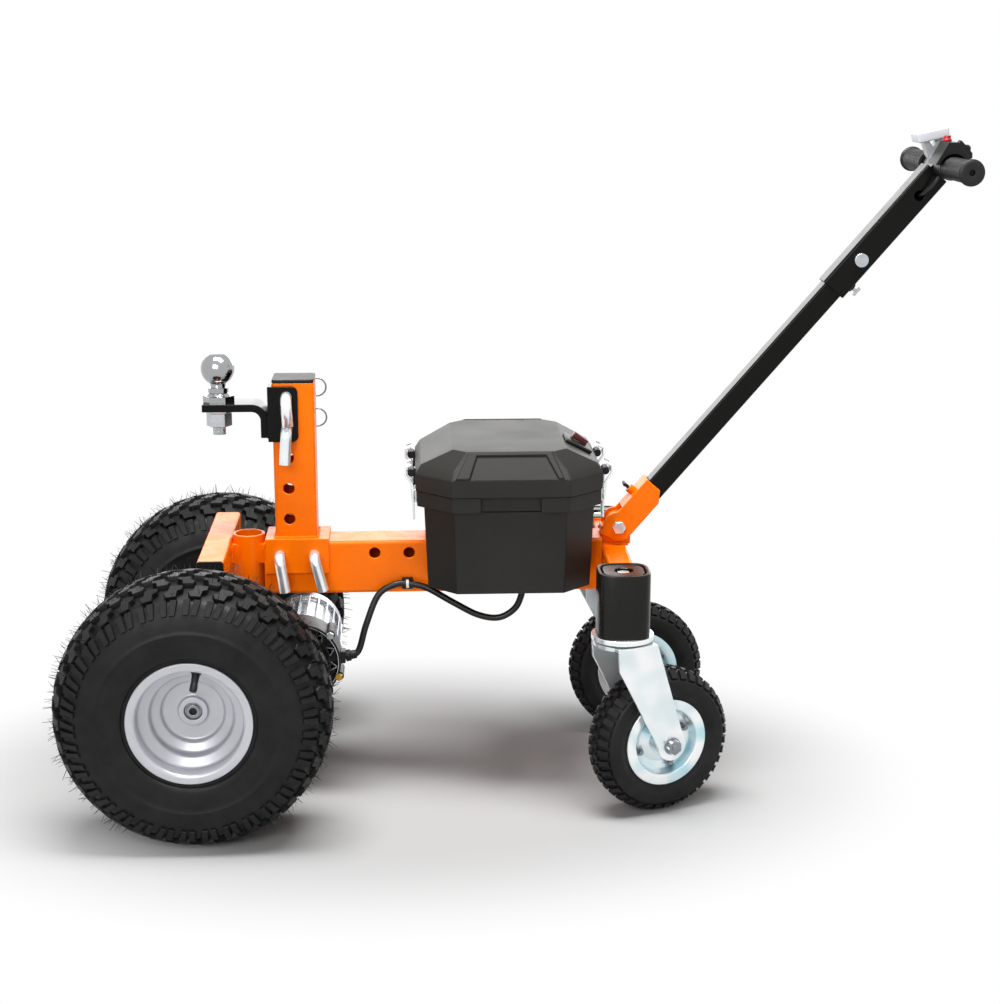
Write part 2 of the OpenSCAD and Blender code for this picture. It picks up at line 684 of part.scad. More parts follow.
// Cover plates set into the tops of the legs
module leg_caps() color(black) for (side = [-1, 1]) translate([caster_x, side * leg_y, caster_plate_z + 8])
    difference() {
        union() {
            translate([0, 0, leg_top_z - caster_plate_z - 14]) linear_extrude(5) cut_square(leg_w - 16, leg_cut - 4.7);
            cylinder(r = 16, h = leg_top_z - caster_plate_z - 14);
        }
        translate([0, 0, leg_top_z - caster_plate_z - 22]) cylinder(r = 13, h = 30);
    }

// Fixed round plates under the legs, each with the headed pin its fork turns on
module caster_plates() color(zinc) for (side = [-1, 1]) translate([caster_x, side * leg_y, 0]) {
    translate([0, 0, caster_plate_z - 7]) cylinder(r = caster_plate_d / 2, h = 7);
    translate([0, 0, caster_plate_z - 24]) cylinder(r = 10, h = 18);
    translate([0, 0, caster_plate_z - 24]) cylinder(r = 16, h = 5);
}

// Casters

fork_crown_z = caster_plate_z - 16;
fork_crown_t = 6;
fork_in = caster_tyre_w / 2 + 7;

// Fork that turns on the plate's pin, with the wheel's axle
module fork(side) color(zinc) caster_place(side) {
    difference() {
        union() {
            translate([0, 0, fork_crown_z]) cylinder(r = 41, h = fork_crown_t);
            block([-28, -fork_in - 4, fork_crown_z], [34, fork_in + 4, fork_crown_z + fork_crown_t]);
        }
        translate([0, 0, fork_crown_z - 5]) cylinder(r = 10 + run_gap, h = 60);
    }
    for (s = [-1, 1]) translate([0, s * (fork_in + 2) + 2, 0]) rotate([90, 0, 0]) linear_extrude(4) union() {
        polygon([[-28, fork_crown_z + fork_crown_t], [-26, fork_crown_z - 26], [caster_trail - 22, caster_tyre_d / 2],
            [caster_trail + 22, caster_tyre_d / 2], [34, fork_crown_z + fork_crown_t]]);
        translate([caster_trail, caster_tyre_d / 2]) circle(r = 22);
    }
    translate([caster_trail, 0, caster_tyre_d / 2]) {
        bar_y(6, -fork_in - 4, fork_in + 4);
        for (s = [-1, 1]) translate([0, s * (fork_in + 4), 0]) rotate([-90 * s, 0, 0]) hex(19, 9);
    }
}

module fork_left() fork(-1);
module fork_right() fork(1);

// Half of a tyre's section, from the rim flange out to the middle of the tread.
// Rows: part of the way from flange to tread, part of the half width
tyre_out = [[0.07, 0.94], [0.22, 1.00], [0.43, 1.00], [0.63, 0.96], [0.77, 0.87], [0.88, 0.72],
    [0.96, 0.50], [1.00, 0.22]];
tyre_in = [[0.05, 0.76], [0.19, 0.84], [0.41, 0.86], [0.61, 0.82], [0.74, 0.72], [0.83, 0.54], [0.89, 0.22]];

// A tyre around Z: its beads sit between the rim flanges, its tread is at tread_r
module tyre(bead_r, flange_r, tread_r, w, bead_w) {
    function at(p) = [flange_r + p[0] * (tread_r - flange_r), p[1] * w / 2];
    out = concat([[bead_r, bead_w / 2], [flange_r + 0.8, bead_w / 2]], [for (p = tyre_out) at(p)]);
    inn = concat([[bead_r, bead_w / 2 - 12]], [for (p = tyre_in) at(p)]);
    n = len(out) - 1;
    m = len(inn) - 1;
    rotate_extrude($fn = 96) polygon(concat(out, [for (i = [n : -1 : 0]) [out[i][0], -out[i][1]]],
        [for (i = [0 : m]) [inn[i][0], -inn[i][1]]], [for (i = [m : -1 : 0]) inn[i]]));
}

module caster_tyre(side) color(rubber) caster_wheel_place(side)
    tyre(caster_rim_d / 2 - 11.8, caster_rim_d / 2, caster_tyre_d / 2, caster_tyre_w, caster_tyre_w * 0.76);

module caster_tyre_left() caster_tyre(-1);
module caster_tyre_right() caster_tyre(1);

// Pressed steel rim with a bore for the axle
module caster_rim(side) color(zinc) caster_wheel_place(side) {
    f = caster_rim_d / 2;
    b = f - 12;
    h = caster_tyre_w * 0.38;
    rotate_extrude($fn = 96) polygon([[f, h + 3], [b - 3, h + 3], [b - 6, 9], [34, 7], [20, 12], [20, h + 9],
        [6 + run_gap, h + 9], [6 + run_gap, -h - 9], [20, -h - 9], [20, -12], [34, -7], [b - 6, -9],
        [b - 3, -h - 3], [f, -h - 3], [f, -h], [b, -h], [b, h], [f, h]]);
}

module caster_rim_left() caster_rim(-1);
module caster_rim_right() caster_rim(1);

// Drive wheels

module drive_tyre(side) color(rubber) drive_place(side)
    tyre(drive_rim_d / 2 - 9.2, drive_rim_d / 2, drive_tyre_d / 2, drive_tyre_w, drive_rim_w);

module drive_tyre_left() drive_tyre(-1);
module drive_tyre_right() drive_tyre(1);

// Deep stepped steel rim with a hub tube
module drive_rim(side) color(zinc) drive_place(side) {
    f = drive_rim_d / 2;
    b = f - 9.5;
    t = 3.5;
    h = drive_rim_w / 2;
    s = shaft_d / 2 + run_gap;
    hub = s + 7.5;
    r1 = f * 0.667;
    r2 = f * 0.503;
    z = [h * 0.667, h * 0.576, h * 0.394, h * 0.303, h * 0.182, h * 0.152];
    rotate_extrude($fn = 96) polygon([[f, h + t], [b - t, h + t], [b - t, z[0]], [r1, z[1]], [r1, z[2]], [r2, z[3]],
        [r2, z[4]], [hub, z[5]], [hub, z[5] + 8], [s, z[5] + 8], [s, -hub_back], [hub, -hub_back], [hub, z[5] - t],
        [r2 + t, z[4] - t], [r2 + t, z[3] - t * 0.85], [r1 + t, z[2] - t * 0.85], [r1 + t, z[1] - t],
        [b - t, z[0] - t * 1.3], [b - t, -h - t], [f, -h - t], [f, -h], [b, -h], [b, h], [f, h]]);
}

module drive_rim_left() drive_rim(-1);
module drive_rim_right() drive_rim(1);

// Drive shaft with the shoulder the hub sits against and the screw in its end
module drive_shaft(side) color(zinc) drive_place(side) {
    translate([0, 0, -wheel_y + 98]) cylinder(r = shaft_d / 2, h = wheel_y - 98 + 6);
    translate([0, 0, -hub_back - 10]) cylinder(r = 18, h = 10);
    translate([0, 0, 6]) hex(17, 7);
}

module drive_shaft_left() drive_shaft(-1);
module drive_shaft_right() drive_shaft(1);

// Handle

// Upright on the rear cross tube that the handle turns on
module handle_upright() color(orange) difference() {
    union() {
        block([cross_front, -lower_tube_w / 2 + 0.5, cross_top], [pivot_x + 18, lower_tube_w / 2 - 0.5, pivot_z]);
        translate([pivot_x, 0, pivot_z]) bar_y(18, -lower_tube_w / 2 + 0.5, lower_tube_w / 2 - 0.5);
    }
    translate([pivot_x, 0, pivot_z]) bar_y(pivot_bolt_d / 2 + run_gap, -40, 40);
}

module pivot_bolt() color(zinc) translate([pivot_x, 0, pivot_z]) {
    cheek = lower_tube_w / 2 + cheek_t + seat_gap;
    bar_y(pivot_bolt_d / 2, -cheek - 1, cheek + 1);
    for (s = [-1, 1]) translate([0, s * cheek, 0]) rotate([-90 * s, 0, 0]) hex(17, 8);
}

// Folded steel socket that holds the lower tube and turns on the pivot bolt
module handle_socket() color(orange) on_handle() {
    half = lower_tube_w / 2;
    web = half - tube_drop;
    for (s = [-1, 1]) translate([0, s * (half + cheek_t / 2), 0]) difference() {
        union() {
            slab_y(-cheek_t / 2, cheek_t / 2) polygon([[0, -cheek_r], [socket_l - 16, -cheek_r],
                [socket_l, -cheek_r + 11], [socket_l, web + cheek_t], [-cheek_r - 3, web + cheek_t],
                [-cheek_r - 3, web], [-cheek_r * 0.6, -cheek_r * 0.8]]);
            bar_y(cheek_r, -cheek_t / 2, cheek_t / 2);
        }
        bar_y(pivot_bolt_d / 2 + run_gap, -10, 10);
    }
    block([lower_tube_start, -half, web], [socket_l, half, web + cheek_t]);
}

module lower_tube() color(black) on_tube() translate([lower_tube_start, 0, 0])
    tube_x(lower_tube_w, lower_tube_w, 3, 2.5, lower_tube_end - lower_tube_start);

// Spring pin with a cross handle on the socket
module pull_pin() color(black) on_tube() translate([52, 0, lower_tube_w / 2 + cheek_t]) {
    cylinder(r = 6, h = 8);
    cylinder(r = 2.5, h = 17);
    translate([0, -9, 17]) rotate([-90, 0, 0]) cylinder(r = 2.5, h = 18);
}

// Sleeve that slides on the lower tube, with a boss for its wing screw and a hole for the switch cable
module upper_sleeve() color(black) on_tube() difference() {
    union() {
        translate([sleeve_start, 0, 0]) tube_x(sleeve_w, sleeve_w, 4, sleeve_wall, sleeve_end - sleeve_start);
        translate([sleeve_start + 21, 0, -sleeve_w / 2 - 5]) cylinder(r = 7, h = 5);
    }
    translate([sleeve_end - 40, 0, -2]) bar_y(7, -sleeve_w, 0);
    translate([sleeve_start + 57, 0, 0]) bar_y(4 + run_gap, -sleeve_w, 0);
}

// Clamp screw through the side of the sleeve and wing screw under its lower end
module clamp_knob() color(zinc) on_tube() {
    translate([sleeve_start + 57, 0, 0]) {
        bar_y(4, -sleeve_w / 2 - 2, -lower_tube_w / 2 - seat_gap);
        bar_y(10, -sleeve_w / 2 - 8, -sleeve_w / 2);
    }
    translate([sleeve_start + 21, 0, -sleeve_w / 2 - 5]) {
        translate([0, 0, -6]) cylinder(r = 2.5, h = 6);
        block([-7, -1.5, -10], [7, 1.5, -5]);
    }
}

module handlebar() color(black) on_bar() {
    bar_y(bar_d / 2, -bar_l / 2 + 4, bar_l / 2 - 4);
    block([-bar_d / 2 - 6, -12, -12], [0, 12, 12]);
}

module grips() color(rubber) on_bar() for (s = [-1, 1]) scale([1, s, 1]) difference() {
    union() {
        bar_y(grip_d / 2, bar_l / 2 - grip_l, bar_l / 2 - 2);
        bar_y(grip_end_d / 2, bar_l / 2 - 5, bar_l / 2);
        bar_y(grip_end_d / 2 - 1, bar_l / 2 - grip_l, bar_l / 2 - grip_l + 5);
    }
    bar_y(bar_d / 2, 0, bar_l / 2 - 4);
    bar_y(4, 0, bar_l);
}

// Throttle housing on the bar with its thumb lever
module throttle() color(black) on_bar_level() {
    near = -grip_start + 2;
    difference() {
        union() {
            bar_y(17, near, near + 28);
            slab_y(near - 18, near + 26) polygon([[-26, 5], [-9, 36], [4, 36], [lever_reach - 2, 13], [18, 5]]);
        }
        bar_y(bar_d / 2 + run_gap, near - 1, near + 29);
        bar_y(grip_end_d / 2 + 1, near - 20, near);
    }
    // Thumb lever and its round tip
    slab_y(near - 15, near - 3) polygon([[4, 33], [9, 39], [lever_reach, 21], [lever_reach, 13], [18, 18]]);
    translate([lever_reach - 7, near - 9, 27]) sphere(r = 5.5);
}

module stop_button() color([0.8, 0.05, 0.05]) on_bar_level() translate([-2.5, -grip_start + 17, 36]) {
    cylinder(r = 6.5, h = 3);
    translate([0, 0, 3]) cylinder(r = 5, h = 5);
}

// Flat indicator on two arms over the bar
module display_pod() color([0.85, 0.86, 0.88]) on_bar_level() {
    difference() {
        slab_y(-10, 10) polygon([[-12, 2], [2, 8], [-8, 20], [4, 40], [-5, 42], [-14, 26], [-22, 38], [-30, 37],
            [-21, 14]]);
        bar_y(bar_d / 2 + run_gap, -20, 20);
        rotate([0, -handle_angle, 0]) block([-60, -20, -30], [-bar_d / 2 + seat_gap, 20, sleeve_w / 2 + seat_gap]);
        rotate([0, -handle_angle, 0]) block([-bar_d, -20, -30], [seat_gap, 20, 12 + seat_gap]);
    }
    translate([-13, 0, 42]) rotate([0, -12, 0]) block([-26, -20, -5], [19, 20, 9]);
}

// Corner points of the switch cable from the throttle into the sleeve, from the handlebar
handle_cable_path = [[-17.6, -36, 0], [-25, -36, -1], [-34, -33, -2], [-43, -28, -2], [-50, -23, -2],
    [-bar_d / 2 - 40, -sleeve_w / 2 + 2.8, -2]];
module handle_cable() color(black) on_bar() cable(smooth(handle_cable_path, 3), 2.2);

at_origin() front_bar();
at_origin() axle_hangers();
at_origin() socket_tube();
at_origin() main_beam();
at_origin() post_saddle();
at_origin() ball_post();
at_origin() tube_plugs();
at_origin() ball_bracket();
at_origin() tow_ball();
at_origin() ball_nut();
at_origin() hitch_pins();
at_origin() pin_clips();
at_origin() gear_case();
at_origin() axle_tubes();
at_origin() motor();
at_origin() motor_cable();
at_origin() cable_clip();
at_origin() battery_box();
at_origin() batteries();
at_origin() latches();
at_origin() box_lid();
at_origin() latch_catches();
at_origin() lid_switch();
at_origin() cross_tube();
at_origin() caster_legs();
at_origin() leg_caps();
at_origin() caster_plates();
at_origin() handle_upright();
at_origin() pivot_bolt();
at_origin() handle_socket();
at_origin() lower_tube();
at_origin() pull_pin();
at_origin() upper_sleeve();
at_origin() clamp_knob();
at_origin() handlebar();
at_origin() grips();
at_origin() throttle();
at_origin() stop_button();
at_origin() display_pod();
at_origin() handle_cable();
at_origin() drive_tyre_left();
at_origin() drive_tyre_right();
at_origin() drive_rim_left();
at_origin() drive_rim_right();
at_origin() drive_shaft_left();
at_origin() drive_shaft_right();
at_origin() fork_left();
at_origin() fork_right();
at_origin() caster_tyre_left();
at_origin() caster_tyre_right();
at_origin() caster_rim_left();
at_origin() caster_rim_right();
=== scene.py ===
"""Dresses the electric trailer dolly: tread, rims, rounded steel, finishes and a plain studio."""

import json
import math

import bmesh
import bpy
from mathutils import Matrix, Vector


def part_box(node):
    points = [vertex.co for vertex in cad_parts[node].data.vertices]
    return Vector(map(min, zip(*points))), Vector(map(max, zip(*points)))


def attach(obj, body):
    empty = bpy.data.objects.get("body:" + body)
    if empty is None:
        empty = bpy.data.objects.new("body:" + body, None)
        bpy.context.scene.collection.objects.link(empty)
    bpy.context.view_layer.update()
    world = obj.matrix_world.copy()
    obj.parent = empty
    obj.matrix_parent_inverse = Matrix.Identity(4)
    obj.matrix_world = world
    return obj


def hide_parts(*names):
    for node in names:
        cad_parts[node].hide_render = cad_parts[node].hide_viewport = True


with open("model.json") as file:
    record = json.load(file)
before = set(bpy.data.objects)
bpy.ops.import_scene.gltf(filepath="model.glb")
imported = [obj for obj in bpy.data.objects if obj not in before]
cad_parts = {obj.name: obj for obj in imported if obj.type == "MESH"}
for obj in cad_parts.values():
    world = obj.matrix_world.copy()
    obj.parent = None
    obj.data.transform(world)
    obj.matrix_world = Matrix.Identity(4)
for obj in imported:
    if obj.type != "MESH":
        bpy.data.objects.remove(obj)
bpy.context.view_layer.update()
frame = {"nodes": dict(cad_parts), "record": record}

bl_info = {
    "name": "Electric trailer dolly",
    "version": (1, 0, 0),
    "blender": (4, 5, 0),
    "location": "View3D > Sidebar > Dolly",
    "description": "Builds the looks of an electric trailer dolly on its solid model",
    "category": "Object",
}

MM = 0.001
BODY_OF = {n: b for b, ns in frame["record"]["behaviour"]["bodies"].items() for n in ns}
SLOT_OF = {s["node"]: s["material_slot"] for s in frame["record"]["subparts"]}
SIDES = (("left", -1), ("right", 1))
# Materials by a short name, filled by the finishes step
FINISH = {}


def linear(code):
    """An sRGB hex colour as three linear numbers"""
    parts = [int(code[i:i + 2], 16) / 255 for i in (0, 2, 4)]
    return tuple(c / 12.92 if c <= 0.04045 else ((c + 0.055) / 1.055) ** 2.4 for c in parts)


def middle(node):
    """The middle of a CAD node's box"""
    low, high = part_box(node)
    return (Vector(low) + Vector(high)) / 2


def at(x, y, z):
    """A point in millimetres, along X from the drive axle, in the shared frame"""
    return Vector((middle("drive_shaft_left").x + x * MM, y * MM, z * MM))


def joint_of(body):
    """The record of the joint that carries a body"""
    for joint in frame["record"]["behaviour"]["joints"]:
        if joint["child"] == body:
            return joint
    raise RuntimeError("no joint for " + body)


# Settings a user may change


def colour_setting(name, description, code):
    """A colour that a user may set"""
    return bpy.props.FloatVectorProperty(name=name, description=description, subtype="COLOR",
                                         default=linear(code))


def count_setting(name, description, usual, low, high):
    """A whole number that a user may set"""
    return bpy.props.IntProperty(name=name, description=description, default=usual, min=low, max=high)


def length_setting(name, description, usual, low, high):
    """A length in metres that a user may set"""
    return bpy.props.FloatProperty(name=name, description=description, unit="LENGTH", default=usual, min=low,
                                   max=high)


class DollyColours(bpy.types.PropertyGroup):
    """Colours of the finishes"""
    orange: colour_setting("Frame orange", "Powder coat of the frame", "FA7200")
    black_coat: colour_setting("Black coat", "Powder coat of the handle and ball bracket", "0E0E0D")
    box: colour_setting("Box", "Moulded plastic of the battery box", "201F1C")
    zinc: colour_setting("Zinc", "Zinc plate of pins, casters and bolts", "F4F6F7")
    wheel: colour_setting("Wheel silver", "Silver paint of the drive rims", "BDBEC4")
    rubber: colour_setting("Tyre rubber", "Rubber of all four tyres", "111111")
    red: colour_setting("Button red", "Plastic of the stop button", "A81C20")


class DollySizes(bpy.types.PropertyGroup):
    """Sizes of what is added to the solid model"""
    drive_pitches: count_setting("Drive tread pitches", "Repeats round a drive tyre", 34, 20, 48)
    block_height: length_setting("Block height", "Depth of the turf tread", 0.0075, 0.003, 0.012)
    caster_pitches: count_setting("Caster tread pitches", "Repeats round a caster tyre", 40, 24, 60)
    whisker: length_setting("Whisker length", "Longest rubber hair left by the tyre mould", 0.016, 0.0, 0.02)
    edge: length_setting("Steel edge", "Rounding of the edges of painted steel", 0.0012, 0.0002, 0.003)
    weld: length_setting("Weld width", "Width of the weld beads between steel parts", 0.006, 0.003, 0.01)


# Meshes


def spin(angle, axis):
    """A turn by degrees about an axis"""
    return Matrix.Rotation(math.radians(angle), 4, axis)


def put(x, y, z):
    """A shift to a point in millimetres, along X from the drive axle"""
    return Matrix.Translation(at(x, y, z))


def pointing(way):
    """A turn of Z to a direction"""
    return way.to_track_quat("Z", "Y").to_matrix().to_4x4()


def wheel_stand(name, side):
    """The place of a drive wheel that was made about Z with its outer face up"""
    return Matrix.Translation(middle("drive_tyre_" + name)) @ spin(-90 * side, "X")


def caster_stand(name):
    """The place of a caster wheel that was made about Z, turned as its axle in the record"""
    axis = joint_of("caster_wheel_" + name)["axis"]
    turn = Matrix.Rotation(math.atan2(-axis[0], axis[1]), 4, "Z")
    return Matrix.Translation(middle("caster_tyre_" + name)) @ turn @ spin(90, "X")


def shaded(bm, name, angle=38):
    """A bmesh as a mesh that is smooth except along edges sharper than the angle"""
    mesh = bpy.data.meshes.new(name)
    bm.to_mesh(mesh)
    bm.free()
    mesh.shade_smooth()
    mesh.set_sharp_from_angle(angle=math.radians(angle))
    return mesh


def piece(name, mesh, finish, body, slot, *nodes, place=None):
    """A copy of a mesh, put in its place, that moves with a body and may stand for CAD nodes"""
    mesh = mesh.copy()
    if place:
        mesh.transform(place)
    mesh.materials.clear()
    mesh.materials.append(FINISH[finish])
    obj = bpy.data.objects.new(name, mesh)
    bpy.context.scene.collection.objects.link(obj)
    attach(obj, body)
    if nodes:
        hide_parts(*nodes)
    return obj


def softened(node, finish, width, angle=38, merge=True):
    """A CAD node's own shape with its sharp edges rounded, in place of the node"""
    bm = bmesh.new()
    bm.from_mesh(frame["nodes"][node].data)
    bmesh.ops.remove_doubles(bm, verts=bm.verts, dist=1e-5)
    if merge:
        bmesh.ops.dissolve_limit(bm, angle_limit=math.radians(1), verts=bm.verts, edges=bm.edges)
    if width:
        edges = [e for e in bm.edges if e.is_manifold and e.calc_face_angle() > math.radians(angle)]
        bmesh.ops.bevel(bm, geom=edges, offset=width * MM, segments=2, profile=0.5, affect="EDGES",
                        clamp_overlap=False)
    obj = piece(node + "_dressed", shaded(bm, node, angle), finish, BODY_OF[node], SLOT_OF[node], node)
    if width:
        obj.modifiers.new("Flat faces stay flat", "WEIGHTED_NORMAL").keep_sharp = True


def rounded(corners, steps=4):
    """A closed outline of (x, y, radius) corners in millimetres, with each corner rounded, in metres"""
    points = []
    count = len(corners)
    for i in range(count):
        here = Vector(corners[i][:2])
        back = Vector(corners[i - 1][:2]) - here
        ahead = Vector(corners[(i + 1) % count][:2]) - here
        radius = corners[i][2]
        if radius <= 0:
            points.append(here * MM)
            continue
        half = back.angle(ahead) / 2
        reach = min(radius / math.tan(half), back.length * 0.49, ahead.length * 0.49)
        start = here + back.normalized() * reach
        end = here + ahead.normalized() * reach
        for k in range(steps + 1):
            t = k / steps
            points.append(((1 - t) ** 2 * start + 2 * t * (1 - t) * here + t ** 2 * end) * MM)
    return points


def skin(bm, rings):
    """Faces over rings of vertices, one after the other, with closed ends"""
    count = len(rings[0])
    for a, b in zip(rings, rings[1:]):
        for k in range(count):
            bm.faces.new((a[k], a[(k + 1) % count], b[(k + 1) % count], b[k]))
    bm.faces.new(rings[0])
    bm.faces.new(rings[-1])


def stacked(loops):
    """A closed skin over loops of points in metres, with as many points each"""
    bm = bmesh.new()
    skin(bm, [[bm.verts.new(p) for p in loop] for loop in loops])
    bmesh.ops.recalc_face_normals(bm, faces=bm.faces)
    return bm


def soft_square(half, z, power=3.6, steps=64):
    """A level loop between a square and a circle, from half its width and its height in millimetres"""
    loop = []
    for k in range(steps):
        turn = 2 * math.pi * k / steps
        x, y = (math.copysign(abs(c) ** (2 / power), c) for c in (math.cos(turn), math.sin(turn)))
        loop.append(Vector((half * x, half * y, z)) * MM)
    return loop


def lathe(outline, steps):
    """A closed outline of (radius, height) in metres turned about Z"""
    bm = bmesh.new()
    rings = []
    for i in range(steps):
        turn = 2 * math.pi * i / steps
        rings.append([bm.verts.new((r * math.cos(turn), r * math.sin(turn), z)) for r, z in outline])
    count = len(outline)
    for i in range(steps):
        ring = rings[i]
        following = rings[(i + 1) % steps]
        for k in range(count):
            bm.faces.new((ring[k], following[k], following[(k + 1) % count], ring[(k + 1) % count]))
    bmesh.ops.remove_doubles(bm, verts=bm.verts, dist=1e-6)
    bmesh.ops.recalc_face_normals(bm, faces=bm.faces)
    return bm


def turned(name, corners, steps, turns, angle=40):
    """A mesh turned about Z from (radius, height, rounding) corners in millimetres"""
    return shaded(lathe(rounded(corners, steps), turns), name, angle)


def peg(bm, sides, radius, top, depth, spot=(0, 0, 0)):
    """Adds a cone or prism about Z to a bmesh, with its middle at a spot, in millimetres"""
    made = bmesh.ops.create_cone(bm, cap_ends=True, segments=sides, radius1=radius * MM, radius2=top * MM,
                                 depth=depth * MM)
    bmesh.ops.translate(bm, verts=made["verts"], vec=Vector(spot) * MM)


def brick(size, edge, steps):
    """A block about the origin with rounded edges, in millimetres"""
    bm = bmesh.new()
    bmesh.ops.create_cube(bm, size=1.0, matrix=Matrix.Diagonal((*(c * MM for c in size), 1)))
    bmesh.ops.bevel(bm, geom=bm.edges[:], offset=edge * MM, segments=steps, profile=0.5, affect="EDGES")
    return bm


def between(a, b, c, d, t):
    """A part t of the way from b to c, on a smooth line through four points or numbers"""
    return 0.5 * (2 * b + (c - a) * t + (2 * a - 5 * b + 4 * c - d) * t * t
                  + (3 * b - a - 3 * c + d) * t ** 3)


def smooth_path(points, steps):
    """Points on a smooth line through the given points"""
    path = []
    last = len(points) - 1
    for i in range(last):
        a = points[max(i - 1, 0)]
        b = points[i]
        c = points[i + 1]
        d = points[min(i + 2, last)]
        path += [between(a, b, c, d, k / steps) for k in range(steps)]
    path.append(points[last])
    return path


def tube(path, radius, sides=16):
    """A round tube along a path, with closed ends"""
    loops = []
    side = (path[1] - path[0]).orthogonal()
    turns = [2 * math.pi * k / sides for k in range(sides)]
    for i, here in enumerate(path):
        along = (path[min(i + 1, len(path) - 1)] - path[max(i - 1, 0)]).normalized()
        side = (side - along * side.dot(along)).normalized()
        up = along.cross(side)
        loops.append([here + radius * (side * math.cos(turn) + up * math.sin(turn)) for turn in turns])
    return stacked(loops)


# Node trees


def add(tree, kind, inputs=None, **settings):
    """A node with its settings; an input takes a value, an output, or the first output of a node"""
    node = tree.nodes.new(kind)
    for key, value in settings.items():
        setattr(node, key, value)
    for key, value in (inputs or {}).items():
        if isinstance(value, bpy.types.Node):
            value = value.outputs[0]
        if isinstance(value, bpy.types.NodeSocket):
            tree.links.new(value, node.inputs[key])
        else:
            node.inputs[key].default_value = value
    return node


def grown(name, tree, finish, base=None, **values):
    """The plain mesh that a geometry tree makes in a finish, from a base mesh if it takes one"""
    obj = bpy.data.objects.new(name, base or bpy.data.meshes.new(name))
    bpy.context.scene.collection.objects.link(obj)
    modifier = obj.modifiers.new(name, "NODES")
    modifier.node_group = tree
    values["Material"] = FINISH[finish]
    for item in tree.interface.items_tree:
        if item.in_out == "INPUT" and item.name in values:
            modifier[item.identifier] = values[item.name]
    depsgraph = bpy.context.evaluated_depsgraph_get()
    mesh = bpy.data.meshes.new_from_object(obj.evaluated_get(depsgraph), depsgraph=depsgraph)
    obj.modifiers.remove(modifier)
    bpy.data.objects.remove(obj)
    if not len(mesh.polygons):
        raise RuntimeError(name + " came out empty")
    return mesh


def repeated(name, tree, finish, mesh, **values):
    """The mesh that a geometry tree makes of one repeated mesh"""
    part = bpy.data.objects.new(name + "_part", mesh)
    bpy.context.scene.collection.objects.link(part)
    whole = grown(name, tree, finish, Part=part, **values)
    bpy.data.objects.remove(part)
    return whole


def new_tree(name, **sockets):
    """A geometry tree with named inputs and one geometry output, and the sockets of its inputs"""
    tree = bpy.data.node_groups.new(name, "GeometryNodeTree")
    for label, kind in sockets.items():
        tree.interface.new_socket(label, in_out="INPUT", socket_type="NodeSocket" + kind)
    tree.interface.new_socket("Geometry", in_out="OUTPUT", socket_type="NodeSocketGeometry")
    return tree, add(tree, "NodeGroupInput").outputs


def closed_tree(tree, given, copies):
    """The tree with its copies led out as one mesh in the given material"""
    whole = add(tree, "GeometryNodeRealizeInstances", {"Geometry": copies})
    coat = add(tree, "GeometryNodeSetMaterial", {"Geometry": whole, "Material": given["Material"]})
    add(tree, "NodeGroupOutput", {"Geometry": coat})
    return tree


def ring_tree():
    """One part repeated evenly about Z"""
    tree, given = new_tree("Ring of parts", Part="Object", Count="Int", Material="Material")
    points = add(tree, "GeometryNodePoints", {"Count": given["Count"]})
    step = add(tree, "ShaderNodeMath", {0: 2 * math.pi, 1: given["Count"]}, operation="DIVIDE")
    index = add(tree, "GeometryNodeInputIndex")
    turn = add(tree, "ShaderNodeMath", {0: index, 1: step}, operation="MULTIPLY")
    around = add(tree, "ShaderNodeCombineXYZ", {"Z": turn})
    info = add(tree, "GeometryNodeObjectInfo", {"Object": given["Part"]})
    copies = add(tree, "GeometryNodeInstanceOnPoints", {
        "Points": points, "Instance": info.outputs["Geometry"], "Rotation": around})
    return closed_tree(tree, given, copies)


def row_tree():
    """One part repeated along Z"""
    tree, given = new_tree("Row of parts", Part="Object", Count="Int", Spacing="Float", Material="Material")
    step = add(tree, "ShaderNodeCombineXYZ", {"Z": given["Spacing"]})
    line = add(tree, "GeometryNodeMeshLine", {"Count": given["Count"], "Offset": step})
    info = add(tree, "GeometryNodeObjectInfo", {"Object": given["Part"]})
    copies = add(tree, "GeometryNodeInstanceOnPoints", {
        "Points": line, "Instance": info.outputs["Geometry"]})
    return closed_tree(tree, given, copies)


def whisker_tree():
    """Thin rubber hairs that stand on a tread, leaning every way"""
    tree, given = new_tree("Tyre whiskers", Geometry="Geometry", Density="Float", Length="Float", Seed="Int",
                           Material="Material")
    seed = given["Seed"]
    roots = add(tree, "GeometryNodeDistributePointsOnFaces", {
        "Mesh": given["Geometry"], "Density": given["Density"], "Seed": seed})
    hair = add(tree, "GeometryNodeMeshCone", {
        "Vertices": 3, "Depth": given["Length"], "Radius Bottom": 0.0006, "Radius Top": 0.0003})
    tilt = add(tree, "FunctionNodeRandomValue", {0: (-0.7, -0.7, -0.7), 1: (0.7, 0.7, 0.7), "Seed": seed},
               data_type="FLOAT_VECTOR")
    lean = add(tree, "ShaderNodeVectorMath", {0: roots.outputs["Normal"], 1: tilt}, operation="ADD")
    stand = add(tree, "FunctionNodeAlignRotationToVector", {"Vector": lean}, axis="Z")
    size = add(tree, "FunctionNodeRandomValue", {2: 0.45, 3: 1.0, "Seed": seed}, data_type="FLOAT")
    copies = add(tree, "GeometryNodeInstanceOnPoints", {
        "Points": roots, "Instance": hair, "Rotation": stand, "Scale": size.outputs[1]})
    return closed_tree(tree, given, copies)


# Finishes


